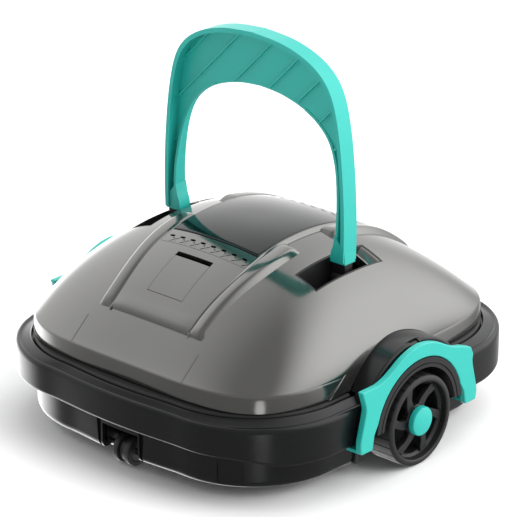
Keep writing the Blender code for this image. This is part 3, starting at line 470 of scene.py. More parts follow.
def make_shell():
    rings = [dome_ring(DOME_X - 0.8, DOME_Y - 0.8, DOME_POWER, SHELL_BOTTOM),
             dome_ring(DOME_X - 0.1, DOME_Y - 0.1, DOME_POWER, SHELL_BOTTOM + 0.7)]
    for z, inset in ((80, 0.1), (84, 0.25), (88, 0.5), (89.6, 0.62), (90.6, 0.75), (91.3, 1.0)):
        rings.append(dome_ring(DOME_X - inset, DOME_Y - inset, DOME_POWER, z))
    levels = [0.004, 0.010, 0.02, 0.035, 0.055, 0.08] + steps(0.11, 0.95, 42) + [0.965, 0.978, 0.988, 0.994, 0.998]
    for h in levels:
        across, along_y, power = level(h)
        rings.append(dome_ring(across, along_y, power, SKIRT_TOP + DOME_RISE * h))
    inner = []
    for h in [0.0] + steps(0.05, 0.95, 14) + [0.98]:
        across, along_y, power = level(h)
        z = SKIRT_TOP + (DOME_RISE - WALL) * h
        inner.append(dome_ring(max(across - WALL, 2), max(along_y - WALL, 2), power, z))
    inner.append(dome_ring(DOME_X - WALL, DOME_Y - WALL, DOME_POWER, SHELL_BOTTOM))
    inner.sort(key=lambda ring: -ring[0].z)
    bm = bmesh.new()
    rows = [[bm.verts.new(point * MM) for point in ring] for ring in rings]
    inside = [[bm.verts.new(point * MM) for point in ring] for ring in inner]
    count = len(rings[0])
    for chain in (rows, inside):
        for low, high in zip(chain, chain[1:]):
            for i in range(count):
                j = (i + 1) % count
                bm.faces.new((low[i], low[j], high[j], high[i]))
    for i in range(count):
        j = (i + 1) % count
        bm.faces.new((rows[0][i], rows[0][j], inside[-1][j], inside[-1][i]))
    bm.faces.new(rows[-1])
    bm.faces.new(inside[0])
    shell = from_bmesh("shell_skin", bm)
    cutters = []
    for _, sx in SIDES:
        x_low, x_high = span(sx, BULGE_IN - GAP, 190)
        cutters.append(cylinder("X", (0, 0, AXLE_Z), BULGE_RADIUS + GAP, x_low, x_high, 128))
        x_low, x_high = span(sx, *SLOT_X)
        cutters.append(box((x_low, SLOT_Y[0], 100), (x_high, SLOT_Y[1], 200)))
    for y_low, y_high in ((-67, -57), (62, 70)):
        cutters.append(box((-43, y_low, 120), (43, y_high, 200)))
    cutters.append(box((-HATCH_HALF, HATCH_LOW_Y, 100), (HATCH_HALF, HATCH_HIGH_Y, 200)))
    for x in (-62.0, 62.0):
        crease = sheet("cutter", [x - 0.3, x, x + 0.3], steps(-160.5, -140.0, 24), 5.0, -0.4)
        cutters.append(drape(crease))
    cut(shell, *cutters)
    piece(shell, "hull", "grey_shell", "top_shell", angle=28)


def cover_half(y):
    return COVER_X + (COVER_FRONT_X - COVER_X) * smoothstep(0.5, 1.0, abs(y) / COVER_Y)


def bar_outer(y):
    return 66.0 - 8.0 * smoothstep(0.35, 1.0, abs(y) / COVER_Y)


BAR_FRONT, BAR_TOP = 131.0, 21.0
SPINE_SIDE = ((-1.4, 3.3, 3.3), (-0.7, 3.15, 3.1), (-0.2, 2.6, 2.2), (0.1, 2.4, 1.2), (0.6, 2.6, 0.2),
              (1.4, 3.4, -0.7), (2.8, 4.0, -1.2))
BAR_SIDE = ((-9.0, 4.5), (-6.5, 4.9), (-4.5, 4.8), (-3.0, 4.1), (-1.8, 2.9), (-0.8, 1.3), (0.0, -0.3),
            (0.8, -1.4))


def spine_columns(y):
    half, outer = cover_half(y), bar_outer(y)
    inner = [half + offset for offset, _, _ in SPINE_SIDE]
    bars = [outer + offset for offset, _ in BAR_SIDE]
    flat = steps(0, half - 6, 7)
    right = flat + inner + bars
    return [-x for x in reversed(right[1:])] + right


def rounded(share):
    """A quarter circle's rise: 0 at 0 and below, 1 at 1."""
    return math.sqrt(max(1 - (1 - max(share, 0.0)) ** 2, 0.0))


def spine_height(x, y):
    """Height of the cover and its two side bars over the dome."""
    a, half, outer = abs(x), cover_half(y), bar_outer(y)
    reach = abs(y)
    front = COVER_Y + 1.2 - reach
    lip = 3.3 + 0.7 * smoothstep(13.0, 5.0, front) * smoothstep(half + 1, half - 9, a)
    if front < 3.2:
        drop = 1 - max(front, 0.0) / 3.2
        lip -= (lip + 1.4) * (1 - math.sqrt(max(1 - drop * drop, 0.0)))
    top = lip
    bar_in = min((BAR_FRONT + 1.0 - reach) / 4.5, 1.0)
    bar_out = min((reach - BAR_TOP) / 9.0, 1.0)
    share = rounded(bar_in) * rounded(bar_out)
    inner = [half + offset for offset, _, _ in SPINE_SIDE]
    xs = [0.0] + inner + [outer + offset for offset, _ in BAR_SIDE]
    with_bar = [top] * 3 + [height for _, height, _ in SPINE_SIDE[2:]] + [height for _, height in BAR_SIDE]
    plain = [top] * 3 + [height for _, _, height in SPINE_SIDE[2:]] + [-1.4] * len(BAR_SIDE)
    bar = float(np.interp(a, xs, with_bar))
    bare = float(np.interp(a, xs, plain))
    height = bare + (bar - bare) * share
    return min(height, top + 6) if a <= half - 0.7 else min(height, bar if reach < BAR_FRONT else height)


def make_spine():
    ends = [-133.4, -132.9, -132.4, -131.9, -131.3, -130.6, -129.8, -128.8, -127.6, -126.2, -124.6, -122.8, -121.0]
    middle = steps(-119, 119, 96)
    ys = ends + middle + [-y for y in reversed(ends)]
    spine = drape(sheet("spine_cover", spine_columns, ys, spine_height, -1.9))
    cut(spine, box((-47.1, VENT_FRONT_Y[0] - GAP, 100), (47.1, 72, 200)),
        box((-19.55, HATCH_LOW_Y, 100), (19.55, HATCH_HIGH_Y, 200)))
    piece(spine, "hull", "grey_shell", "centre_cover", angle=40, weighted=False)


def make_window():
    window = drape(sheet("crest_panel", steps(-46.6, 46.6, 36), steps(-52.5, 59.5, 46), 3.5, 0.4))
    bevel(window, 0.9, 3, 50)
    piece(window, "hull", "smoked_window", "crest_window", angle=40)


def make_vents():
    for end, (y_low, y_high) in (("front", VENT_FRONT_Y), ("rear", VENT_REAR_Y)):
        dash, cross = (-61.4, -65.6) if end == "front" else (63.4, 67.6)
        strip = sheet(f"vent_{end}", steps(-46.9, 46.9, 32), steps(y_low, y_high, 5), 3.3, 0.4)
        cutters = []
        for i in range(8):
            x = 11.5 * (i - 3.5)
            cutters.append(lathe("cutter", [(0, 6), (1, 6), (1, -2), (0, -2)], (0, 0, 0), "Z", 20))
            shape = Matrix.Translation(Vector((x, dash, 0)) * MM) @ Matrix.Diagonal((2.9, 1.25, 1, 1))
            cutters[-1].data.transform(shape)
            for turn in (38, -38):
                bar = box((-4.2, -0.42, 2.5), (4.2, 0.42, 6))
                bar.data.transform(Matrix.Translation(Vector((x + 5.75, cross, 0)) * MM)
                                   @ Matrix.Rotation(math.radians(turn), 4, "Z"))
                cutters.append(bar)
        cut(strip, *cutters)
        drape(strip)
        piece(strip, "hull", "grey_shell", f"vent_strip_{end}", angle=35)


joint = next(j for j in frame["joints"] if j["name"] == "hatch_swing")
HATCH_AXIS_Z = joint["pos_m"][2] / MM
HATCH_SLOPE = math.atan2(dome_height(0, -76) - dome_height(0, HATCH_AXIS_Y), -76 - HATCH_AXIS_Y)
HATCH_FRAME = (Matrix.Translation(Vector((0, HATCH_AXIS_Y, HATCH_AXIS_Z)) * MM)
               @ Matrix.Rotation(HATCH_SLOPE, 4, "X"))


def tilted(obj):
    obj.data.transform(HATCH_FRAME)
    return obj


def make_hatch():
    door = sheet("hatch_lid", steps(-19.25, 19.25, 20), steps(-108.6, -80.7, 16), 3.3, 1.0)
    drape(door)
    lip = sheet("hatch_lip", steps(-19.25, 19.25, 20), steps(-113.9, -107.0, 6), 3.3, 2.75)
    drape(lip)
    knuckle = tilted(cylinder("X", (0, 0, 0), 1.6, -9.3, 9.3, 32))
    neck = tilted(box((-9.3, 0.4, -0.6), (9.3, 6.0, 1.3)))
    join(door, lip, knuckle, neck)
    cut(door, tilted(cylinder("X", (0, 0, 0), 0.75, -20, 20, 24)))
    piece(door, "hatch", "grey_shell", "hatch_door", angle=35)


# ------------------------------------------------------------------ rim, seal, base


def rim_bottom(x):
    return RIM_LOW_FRONT + (RIM_LOW_SIDE - RIM_LOW_FRONT) * smoothstep(118, 158, abs(x))


def make_rim():
    rings = []
    for grow, lift in ((-4.0, 0.0), (-1.6, 0.2), (-0.6, 0.9), (-0.1, 2.0), (0.0, 3.4)):
        rings.append(rim_ring(grow, lambda x, lift=lift: rim_bottom(x) + lift))
    for grow, z in ((0.0, 60.0), (0.0, 66.4), (-0.15, 67.9), (-0.6, 69.3), (-1.4, 70.4), (-2.6, 71.0), (-3.6, 70.9),
                    (-4.4, 70.3), (-5.2, 70.1)):
        rings.append(rim_ring(grow, z))
    outer, inner = rim_ring(-5.2, 0), base_ring(4.9, 0)
    for share, z in ((0.25, 70.8), (0.5, 71.7), (0.8, 72.9)):
        rings.append(between(outer, inner, share, z))
    for grow, z in ((4.9, 73.6), (4.5, 74.2), (4.0, 74.5), (3.6, 74.3), (3.3, 73.7), (3.2, 72.6), (3.2, 70.2),
                    (0.4, 70.0), (0.35, 69.5)):
        rings.append(base_ring(grow, z))
    rings.append(base_ring(0.35, lambda x: rim_bottom(x) + 0.2))
    rim = band("rim_bumper", rings)
    bulges, cutters = [], []
    for _, sx in SIDES:
        low, high = span(sx, BULGE_IN, BULGE_OUT)
        bulge = cylinder("X", (0, 0, AXLE_Z), BULGE_RADIUS, low, high, 144)
        bevel(bulge, 2.2, 4, 50)
        inner_low, inner_high = span(sx, BULGE_IN - 6, BASE_X + 1.5)
        outer_low, outer_high = span(sx, 130, 190)
        cut(bulge, box((inner_low, -80, -40), (inner_high, 80, 77)),
            box((outer_low, -80, -40), (outer_high, 80, 52)))
        bulges.append(bulge)
        low, high = span(sx, 135, 185)
        cutters.append(cylinder("X", (0, 0, AXLE_Z), FENDER_OUT + 0.3, low, high, 128))
        cutters.append(box((low, -FENDER_OUT - 0.3, 0), (high, FENDER_OUT + 0.3, AXLE_Z)))
        low, high = span(sx, 164, 173)
        cutters.append(box((low, -5.2, 100.2), (high, 5.2, 106.5)))
        low, high = span(sx, 166.6, 173)
        cutters.append(box((low, -5.2, 100.2), (high, 5.2, 112)))
        cutters.append(cylinder("Y", (sx * LATCH_PIN_X, 0, LATCH_PIN_Z), 1.5, -14.5, 14.5, 24))
        low, high = span(sx, LATCH_PIN_X, 175)
        corner = box((low, -26, LATCH_PIN_Z), (high, 26, 112))
        cutters.append(cut(corner, cylinder("Y", (sx * LATCH_PIN_X, 0, LATCH_PIN_Z), 3.95, -30, 30, 48)))
    join(rim, *bulges)
    cut(rim, *cutters)
    piece(rim, "hull", "dark_plastic", "bumper_rim", angle=38)


def make_seals():
    for end, side in ENDS:
        ring = band(f"seal_{end}", [base_ring(2.0, BASE_TOP + 0.3), base_ring(2.0, 74.4), base_ring(1.7, 75.2),
                                    base_ring(0.9, 76.2), base_ring(0.2, 76.6), base_ring(-6.5, 76.6),
                                    base_ring(-6.5, BASE_TOP + 0.3)])
        low, high = span(side, 61, 200)
        keep(ring, box((-200, low, 60), (200, high, 90)))
        piece(ring, "hull", "rubber", f"rim_seal_{end}", angle=40)


def make_base():
    outer = [base_ring(grow, BASE_BOTTOM + rise)
             for grow, rise in ((-5.6, 0), (-4.2, 0.2), (-2.6, 0.9), (-1.2, 2.2), (-0.3, 4.2), (0.0, 6.5))]
    outer += [base_ring(0.0, 40.0), base_ring(0.0, BASE_TOP)]
    inner = [base_ring(-3.0, BASE_TOP), base_ring(-3.0, BASE_BOTTOM + 7), base_ring(-5.5, BASE_BOTTOM + 3.0)]
    bm = bmesh.new()
    rows = [[bm.verts.new(point * MM) for point in ring] for ring in outer + inner]
    count = len(rows[0])
    for low, high in zip(rows, rows[1:]):
        for i in range(count):
            j = (i + 1) % count
            bm.faces.new((low[i], low[j], high[j], high[i]))
    bm.faces.new(list(reversed(rows[0])))
    bm.faces.new(rows[-1])
    base = from_bmesh("tray", bm)
    added, cutters = [], []
    for _, side in ENDS:
        low, high = span(side, ROLLER_Y - ROLLER_RADIUS - 5, BASE_Y - 6)
        added.append(box((-23, low, BASE_BOTTOM + 1), (23, high, 37)))
        low, high = span(side, ROLLER_Y - ROLLER_RADIUS - 2, BASE_Y + 5)
        cutters.append(box((-20, low, 0), (20, high, 34)))
        cutters.append(cylinder("X", (0, side * ROLLER_Y, ROLLER_RADIUS), 2.9, -40, 40, 32))
        low, high = span(side, 38, 54)
        cutters.append(box((-45, low, 0), (45, high, 16)))
        cutters.append(cylinder("X", (0, side * 60, 17.2), 1.8, -60, 60, 24))
        for sx in (1, -1):
            y = side * 60
            added.append(box((sx * 54 - 2.5, y - 3, BASE_BOTTOM + 1), (sx * 54 + 2.5, y + 3, 20.5)))
            wedge = [(sx * 21.2, 45), (sx * 27.8, 45), (sx * 23.6, 3), (sx * 22.6, 3)]
            low, high = span(side, BASE_Y - 3.2, BASE_Y + 6)
            cutters.append(outline("cutter", wedge, "Y", low, high))
            if sx == side:
                continue
            x_low, x_high = span(sx, 98, 117)
            low, high = span(side, 137, 170)
            slab = box((x_low, low, 0), (x_high, high, 33))
            keep(slab, band("cutter", [base_ring(8, 0), base_ring(8, 34), base_ring(-1.5, 34), base_ring(-1.5, 0)]))
            cutters.append(slab)
    for sx in (1, -1):
        low, high = span(sx, 118, 122)
        added.append(box((low, -11, BASE_BOTTOM + 1), (high, 11, AXLE_Z + 10)))
        low, high = span(sx, 86, 116)
        added.append(box((low, 15, BASE_BOTTOM + 1), (high, 33, AXLE_Z - 13.4)))
        low, high = span(sx, 139.7, 180)
        cutters.append(cylinder("X", (0, 0, AXLE_Z), FENDER_OUT + 0.3, low, high, 96))
        cutters.append(box((low, -FENDER_OUT - 0.3, 0), (high, FENDER_OUT + 0.3, AXLE_Z)))
        low, high = span(sx, 110, 125)
        cutters.append(cylinder("X", (0, 0, AXLE_Z), 4.3, low, high, 32))
        cutters.append(cylinder("Z", (sx * 104, sx * 112, 0), 2.3, 52, 80, 24))
        for sy in (1, -1):
            added.append(cylinder("Z", (sx * 104, sy * 112, 0), 6, BASE_BOTTOM + 1, BASE_TOP, 32))
            added.append(cylinder("Z", (sx * 62, sy * 28, 0), 4, BASE_BOTTOM + 1, 45.7, 24))
        added.append(cylinder("Z", (sx * 104, -sx * 112, 0), 2, 60, 75.5, 24))
    join(base, *added)
    cut(base, *cutters)
    piece(base, "hull", "dark_plastic", "base_tray", angle=32)


# ------------------------------------------------------------------ handle


ARCH_OUTER = [(100.0, 158.0), (100.3, 190.0), (98.4, 228.0), (94.0, 266.0), (87.0, 294.0), (76.0, 311.0),
              (58.0, 323.0), (32.0, 331.0), (0.0, 334.0)]
ARCH_FLANGE = [(96.2, 158.0), (96.5, 190.0), (94.7, 227.0), (90.4, 264.6), (83.7, 291.4), (73.6, 307.6),
               (56.7, 319.1), (31.5, 326.9), (0.0, 329.9)]
ARCH_INNER = [(88.5, 158.0), (89.5, 190.0), (87.5, 215.0), (83.0, 237.0), (75.0, 255.0), (62.0, 268.0),
              (44.0, 277.5), (22.0, 283.5), (0.0, 285.5)]


def arch(outer, inner, count):
    return mirrored(smooth_path(outer, count)) + list(reversed(mirrored(smooth_path(inner, count))))


def lip_strip(sx):
    """The inner edge of a leg: a strip that is deep at the foot and fades into the web."""
    path = [p for p in smooth_path(ARCH_INNER, 12) if p[1] < 276]
    rings = []
    for i, (x, z) in enumerate(path):
        before, after = path[max(i - 1, 0)], path[min(i + 1, len(path) - 1)]
        run = Vector((after[0] - before[0], after[1] - before[1])).normalized()
        out = Vector((run.y, -run.x)) * 2.4
        front = -6.2 + 7.9 * smoothstep(170, 270, z)
        back = 6.0
        corners = [(x, back, z), (x, front, z), (x + out.x, front, z + out.y), (x + out.x, back, z + out.y)]
        rings.append([(sx * u, v, w) for u, v, w in corners])
    return band("lip", rings, closed=False)


def make_handle():
    handle = outline("handle_frame", arch(ARCH_OUTER, ARCH_FLANGE, 10), "Y", -8.0, 8.0)
    web_outer = [(u - 1.5 if u > 1 else u, v - 1.5) for u, v in ARCH_OUTER]
    web = outline("web", arch(web_outer, ARCH_INNER, 10), "Y", 2.2, 6.0)
    ribs = []
    region = outline("region", arch([(u - 1.0 if u > 1 else u, v - 1.0) for u, v in ARCH_OUTER],
                                    [(u + 1.2 if u > 1 else u, v + 1.0) for u, v in ARCH_INNER], 10), "Y", 0.2, 3.0)
    for x in [36.0 * i - 63.0 for i in range(-8, 10)] + [-91.0]:
        bar = box((-0.75, 0.4, -260), (0.75, 2.6, 260))
        bar.data.transform(Matrix.Translation(Vector((x, 0, 285.0)) * MM)
                           @ Matrix.Rotation(math.radians(45), 4, "Y"))
        ribs.append(bar)
    first = ribs[0]
    join(first, *ribs[1:])
    keep(first, region)
    extra = [web, first]
    for tag, sx in SIDES:
        extra.append(lip_strip(sx))
        foot = [(-8.0, 156), (8.0, 156), (8.0, 160), (7.8, 166), (-3.4, 179.5), (-4.2, 174.5), (-5.4, 169),
                (-7.2, 164.5), (-8.0, 159.5)]
        extra.append(outline("foot", [(sx * (HANDLE_X + u), v) for u, v in foot], "Y", -6.5, 6.5))
        hub = box((sx * HANDLE_X - 6.5, -4.6, 140), (sx * HANDLE_X + 6.5, 4.6, 156), f"handle_hub_{tag}")
        join(hub, cylinder("X", (0, 0, HANDLE_PIVOT_Z), 7.5, sx * HANDLE_X - 6.5, sx * HANDLE_X + 6.5, 48))
        cut(hub, cylinder("X", (0, 0, HANDLE_PIVOT_Z), 3.5, sx * HANDLE_X - 12, sx * HANDLE_X + 12, 32))
        bevel(hub, 0.4, 2, 40)
        piece(hub, "handle", "black_plastic", angle=45)
    join(handle, *extra)
    bevel(handle, 0.55, 2, 40)
    piece(handle, "handle", "teal_plastic", "handle", angle=45)


def make_wells():
    for tag, sx in SIDES:
        x_low, x_high = span(sx, 81.3, 103.7)
        well = box((x_low, -45.7, 127.5), (x_high, 37.7, 170), f"slot_well_{tag}")
        inner_low, inner_high = x_low + 1.2, x_high - 1.2
        cut(well, box((inner_low, -44.2, 129), (inner_high, 36.2, 180)),
            cylinder("X", (0, 0, HANDLE_PIVOT_Z), 3.2, x_low - 5, x_high + 5, 32))
        cap = sheet("cutter", steps(x_low - 3, x_high + 3, 16), steps(-50, 42, 40), 60, -0.25)
        cut(well, drape(cap))
        piece(well, "hull", "black_plastic", f"handle_well_{tag}", angle=40)
        rib = sheet(f"slot_rib_{tag}", steps(inner_low - 0.3, inner_high + 0.3, 10), [20.0, 21.4], -0.6, -9.0)
        piece(drape(rib), "hull", "grey_shell", angle=40)
        ramp = sheet(f"slot_ramp_{tag}", steps(inner_low - 0.3, inner_high + 0.3, 10), steps(25.5, 36.8, 8),
                     lambda x, y: -9.5 + 9.0 * smoothstep(22.0, 36.8, y), -11.5)
        piece(drape(ramp), "hull", "grey_shell", angle=40)


# ------------------------------------------------------------------ latch, fender, wheel


LATCH_TOP = [(0.0, 106.3), (12.0, 104.6), (24.0, 100.4), (34.0, 95.0), (44.0, 90.2), (54.0, 87.6)]
LATCH_LEG = [(68.8, 76.0), (68.0, 70.0), (70.2, 60.0), (73.0, 50.0), (74.5, 43.0), (74.0, 36.5)]
LATCH_EARS = ((-1, (73.0, 87.6)), (1, (65.5, 83.0)))


def latch_outline():
    inner = [(73.0, 33.3), (59.5, 33.3), (57.2, 46.0)]
    radius = FENDER_OUT + 0.6
    for step in range(25):
        angle = math.radians(16 + 74 * step / 24)
        inner.append((radius * math.cos(angle), AXLE_Z + radius * math.sin(angle)))
    points = []
    for side, ear in reversed(LATCH_EARS):
        half = smooth_path(LATCH_TOP, 5) + [ear] + smooth_path(LATCH_LEG, 4) + inner
        if side > 0:
            points += [(y, z) for y, z in half]
        else:
            points += [(-y, z) for y, z in reversed(half[1:-1])]
    return points


def make_latch(tag, sx):
    low, high = span(sx, LATCH_IN, LATCH_OUT)
    latch = outline(f"latch_plate_{tag}", latch_outline(), "X", low, high)
    bevel(latch, 1.1, 3, 40)
    hooks = []
    low, high = span(sx, 161, 174)
    for sy in (1, -1):
        y_low, y_high = span(sy, 60.5, 73.5)
        hooks.append(box((low, y_low, 33.7), (high, y_high, 36.3)))
    join(latch, *hooks)
    piece(latch, f"{tag}_latch", "teal_plastic", f"side_latch_{tag}", angle=40)
    knuckle = cylinder("Y", (sx * LATCH_PIN_X, 0, LATCH_PIN_Z), 2.8, -4.8, 4.8, 32, f"latch_knuckle_{tag}")
    low, high = span(sx, LATCH_PIN_X, 172)
    join(knuckle, box((low, -4.6, 101.8), (high, 4.6, 104.8)))
    cut(knuckle, cylinder("Y", (sx * LATCH_PIN_X, 0, LATCH_PIN_Z), 1.5, -20, 20, 24))
    piece(knuckle, f"{tag}_latch", "black_plastic", angle=40)


def make_fender(tag, sx):
    low, high = span(sx, 140, FENDER_FACE)
    fender = cylinder("X", (0, 0, AXLE_Z), FENDER_OUT, low, high, 144, f"wheel_arch_{tag}")
    leg_low, leg_high = span(sx, 140, 154.5)
    join(fender, box((leg_low, -FENDER_OUT, 11.8), (leg_high, FENDER_OUT, AXLE_Z)))
    hollow_low, hollow_high = span(sx, 142.5, 185)
    out_low, out_high = span(sx, 154.8, 185)
    cut_low, cut_high = span(sx, 130, 190)
    bore_low, bore_high = span(sx, 135, 150)
    cut(fender, cylinder("X", (0, 0, AXLE_Z), FENDER_IN, hollow_low, hollow_high, 144),
        box((hollow_low, -FENDER_IN, -20), (hollow_high, FENDER_IN, AXLE_Z)),
        box((out_low, -80, -20), (out_high, 80, AXLE_Z + 5)),
        box((cut_low, -80, -30), (cut_high, 80, 11.8)),
        cylinder("X", (0, 0, AXLE_Z), 5.0, bore_low, bore_high, 48))
    low, high = span(sx, 136, 145.5)
    join(fender, lathe("boss", [(4.3, high), (9.0, high), (9.0, low), (4.3, low)], (0, 0, AXLE_Z), "X", 48))
    low, high = span(sx, FENDER_FACE - 1.2, 181)
    cut(fender, lathe("cutter", [(48.4, high), (49.4, high), (49.4, low), (48.4, low)], (0, 0, AXLE_Z), "X", 144))
    bevel(fender, 0.7, 2, 40)
    piece(fender, "hull", "black_plastic", f"fender_{tag}", angle=40)


def make_facet(tag, sx, end, side):
    """A flat lug of the shell beside the wheel bulge, leaning in with the shell."""
    points = [(84.0, 77.2), (77.4, 82.5), (52.0, 100.5), (28.0, 104.8)]
    for step in range(9):
        angle = math.radians(66.4 - 33.3 * step / 8)
        points.append((70 * math.cos(angle), AXLE_Z + 70 * math.sin(angle)))
    low, high = span(sx, 148.0, 151.9)
    facet = outline(f"shell_facet_{end}_{tag}", [(side * y, z) for y, z in points], "X", low, high)
    for vertex in facet.data.vertices:
        vertex.co.x -= sx * 0.15 * max(vertex.co.z - 0.080, 0.0)
    bevel(facet, 0.8, 2, 40)
    piece(facet, "hull", "grey_shell", angle=40)


def spoke_outline(turn):
    """A spoke that sweeps sideways on its way out from the hub, as a flat outline about the axle."""
    left, right = [], []
    for i in range(13):
        radius = 12.0 + 20.0 * i / 12
        sweep = turn + 16.0 * math.sin(math.pi * 0.5 * (radius - 12.0) / 20.0) ** 2
        half = 3.6 + 0.9 * abs(i - 6) / 6
        for side, row in ((1, left), (-1, right)):
            angle = math.radians(sweep) + side * half / radius
            row.append((radius * math.sin(angle), AXLE_Z + radius * math.cos(angle)))
    return left + list(reversed(right))


def make_wheel(tag, sx):
    body = f"{tag}_wheel"
    middle, half = sx * (WHEEL_IN + WHEEL_OUT) / 2, (WHEEL_OUT - WHEEL_IN) / 2
    profile = [(33.5, half - 1.0), (34.4, half - 0.1), (35.4, half), (37.2, half - 0.3), (38.4, half - 1.2),
               (39.0, half - 2.6), (39.0, 3 - half), (38.2, 1.2 - half), (36.5, -half), (33.5, -half)]
    tyre = lathe(f"wheel_tyre_{tag}", profile, (middle, 0, AXLE_Z), "X", 144)
    if sx < 0:
        tyre.data.transform(Matrix.Translation((2 * middle * MM, 0, 0)) @ Matrix.Diagonal((-1, 1, 1, 1)))
        tyre.data.flip_normals()
    grooves = []
    for i in range(TREADS):
        low, high = middle - half + 3, middle + half - 3
        turn = about_x(360 * (i + 0.5) / TREADS, 0, AXLE_Z)
        grooves.append(box((low - 8, -0.55, 38.55), (high + 8, 0.55, 41), turn=turn))
    cut(tyre, *grooves)
    piece(tyre, body, "tyre_rubber", f"tyre_{tag}", angle=35)

    barrel = [(30.2, half - 7.0), (31.6, half - 6.0), (32.2, half - 5.4), (33.2, half - 5.4), (33.2, 0.5 - half),
              (4.4, 0.5 - half), (4.4, half - 3.5), (11.0, half - 3.5), (13.4, half - 5.0), (13.4, half - 11.0),
              (11.0, half - 12.0), (11.0, 3.5 - half), (29.6, 3.5 - half), (29.6, half - 8.0)]
    rim = lathe(f"wheel_disc_{tag}", barrel, (0, 0, 0), "Z", 96)
    rim.data.transform(Matrix.Translation((middle * MM, 0, AXLE_Z * MM))
                       @ Matrix.Rotation(math.radians(90 * sx), 4, "Y"))
    spokes = []
    low, high = span(sx, WHEEL_OUT - 10.0, WHEEL_OUT - 5.0)
    for i in range(SPOKES):
        spokes.append(outline("spoke", spoke_outline(360 / SPOKES * i + 26), "X", low, high))
        bevel(spokes[-1], 0.9, 2, 50)
    join(rim, *spokes)
    piece(rim, body, "black_plastic", f"wheel_rim_{tag}", angle=35)

    crown = WHEEL_OUT + 2.8
    cap = [(0, crown), (6.0, crown - 0.2), (10.6, crown - 0.8), (11.9, crown - 1.4), (12.5, crown - 2.4),
           (12.6, WHEEL_OUT - 3.2), (0, WHEEL_OUT - 3.2)]
    if sx < 0:
        cap = [(radius, -height) for radius, height in reversed(cap)]
    piece(lathe(f"wheel_cap_{tag}", cap, (0, 0, AXLE_Z), "X", 64), body, "teal_plastic", f"hub_cap_{tag}", angle=30)


def make_roller(end, side):
    centre = (0, side * ROLLER_Y, ROLLER_RADIUS)
    body = f"{end}_roller"
    core = [(3.2, 8.4), (4.6, 9.0), (8.2, 9.0), (8.9, 8.4), (8.9, 3.2), (9.6, 3.0), (10.4, 2.4), (10.4, -2.4),
            (9.6, -3.0), (8.9, -3.2), (8.9, -8.4), (8.2, -9.0), (4.6, -9.0), (3.2, -8.4)]
    piece(lathe(f"{end}_roller_core", core, centre, "X", 72), body, "black_plastic", f"{end}_roller", angle=35)
    for tag, sx in SIDES:
        inner, outer = span(sx, 3.4, 9.0)
        tyre = [(9.1, outer), (11.6, outer), (12.3, outer - 0.4), (12.5, outer - 1.1), (12.5, inner + 1.1),
                (12.3, inner + 0.4), (11.6, inner), (9.1, inner)]
        piece(lathe(f"{end}_roller_band_{tag}", tyre, centre, "X", 72), body, "tyre_rubber",
              f"{end}_roller_tyre_{tag}", angle=35)


make_shell()
make_spine()
make_window()
make_vents()
make_hatch()
make_rim()
make_seals()
make_base()
make_handle()
make_wells()
for tag, sx in SIDES:
    make_latch(tag, sx)
    make_fender(tag, sx)
    make_wheel(tag, sx)
    make_facet(tag, sx, "front", -1)
for end, side in ENDS:
    make_roller(end, side)

for name in ("power_button", "charging_port", "impeller", "pump_housing", "pump_motor", "drive_motor_left",
             "drive_motor_right", "axle_left", "axle_right", "handle_pin_left", "handle_pin_right"):
    shown = frame["nodes"][name].data
    shown.shade_smooth()
    shown.set_sharp_from_angle(angle=math.radians(40))


# ------------------------------------------------------------------ studio


def make_camera():
    azimuth, elevation, distance = math.radians(42.05), math.radians(22.07), 2516.8
    target = Vector((0, 0, 133.25)) * MM
    back = Vector((math.sin(azimuth) * math.cos(elevation), -math.cos(azimuth) * math.cos(elevation),
                   math.sin(elevation)))
    data = bpy.data.cameras.new("camera")
    data.sensor_width = 36.0
    data.lens = 2999.65 / 517 * 36.0
    data.clip_end = 50
    camera = bpy.data.objects.new("camera", data)
    camera.location = target + back * distance * MM
    camera.rotation_euler = back.to_track_quat("Z", "Y").to_euler()
    bpy.context.scene.collection.objects.link(camera)
    bpy.context.scene.camera = camera


def make_light(name, place, aim, size, power, tint=(1, 1, 1)):
    data = bpy.data.lights.new(name, "AREA")
    data.shape = "RECTANGLE"
    data.size, data.size_y = size
    data.energy = power
    data.color = tint
    lamp = bpy.data.objects.new(name, data)
    lamp.location = Vector(place)
    lamp.visible_glossy = False
    lamp.rotation_euler = (Vector(place) - Vector(aim)).to_track_quat("Z", "Y").to_euler()
    bpy.context.scene.collection.objects.link(lamp)


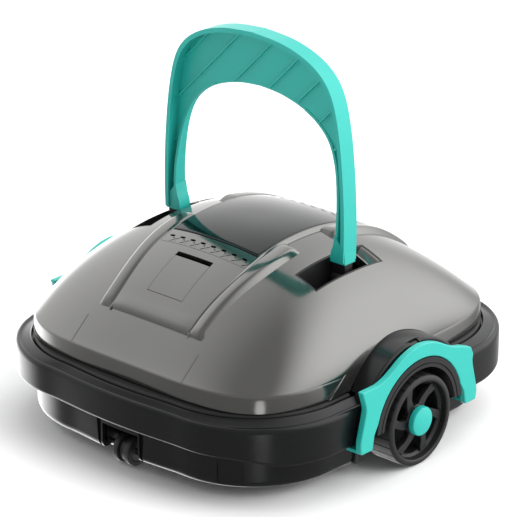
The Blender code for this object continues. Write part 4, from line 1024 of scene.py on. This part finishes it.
# Glow of the room: direction, where the glow starts and is full as a cosine, strength outside and inside it
SKY = (((0.0, -0.6, -1.0), 0.0, 0.6, 0.52, 0.36),
       ((0.53, 0.69, 0.49), 0.50, 1.0, 0.0, 2.3),
       ((-0.93, 0.30, 0.22), 0.20, 1.0, 0.0, 1.3),
       ((-0.86, 0.20, -0.47), 0.75, 0.97, 0.0, 3.5),
       ((0.70, -0.62, -0.35), 0.985, 0.998, 0.0, 2.0))


def make_studio():
    bm = bmesh.new()
    bmesh.ops.create_grid(bm, x_segments=1, y_segments=1, size=12)
    floor = from_bmesh("floor", bm)
    paint = bpy.data.materials.new("floor_paint")
    paint.use_nodes = True
    shader = paint.node_tree.nodes["Principled BSDF"]
    shader.inputs["Base Color"].default_value = (0.93, 0.93, 0.93, 1)
    shader.inputs["Roughness"].default_value = 0.9
    shader.inputs["Specular IOR Level"].default_value = 0.1
    floor.data.materials.append(paint)
    floor.visible_glossy = False

    world = bpy.data.worlds.new("studio")
    bpy.context.scene.world = world
    world.use_nodes = True
    tree = world.node_tree
    tree.nodes.clear()
    place = node(tree, "ShaderNodeTexCoord")
    back = node(tree, "ShaderNodeBackground")
    out = node(tree, "ShaderNodeOutputWorld")
    total = None
    for direction, start, end, low, high in SKY:
        lobe = node(tree, "ShaderNodeVectorMath", operation="DOT_PRODUCT")
        lobe.inputs[1].default_value = Vector(direction).normalized()
        ramp = node(tree, "ShaderNodeMapRange", interpolation_type="SMOOTHSTEP")
        for name, value in (("From Min", start), ("From Max", end), ("To Min", low), ("To Max", high)):
            ramp.inputs[name].default_value = value
        tree.links.new(place.outputs["Generated"], lobe.inputs[0])
        tree.links.new(lobe.outputs["Value"], ramp.inputs["Value"])
        if total is not None:
            added = node(tree, "ShaderNodeMath", operation="ADD")
            tree.links.new(total, added.inputs[0])
            tree.links.new(ramp.outputs["Result"], added.inputs[1])
            total = added.outputs["Value"]
        else:
            total = ramp.outputs["Result"]
    tree.links.new(total, back.inputs["Strength"])
    tree.links.new(back.outputs["Background"], out.inputs["Surface"])

    make_light("key", (1.6, 0.5, 1.3), (0, 0, 0.1), (1.4, 1.4), 20)
    make_light("left", (-1.8, -0.4, 0.9), (0, 0, 0.1), (1.2, 1.6), 10)
    make_light("top", (-0.1, 0.3, 2.2), (0, 0, 0.1), (1.8, 1.8), 14)
    bpy.context.scene.view_settings.view_transform = "Standard"


make_camera()
make_studio()
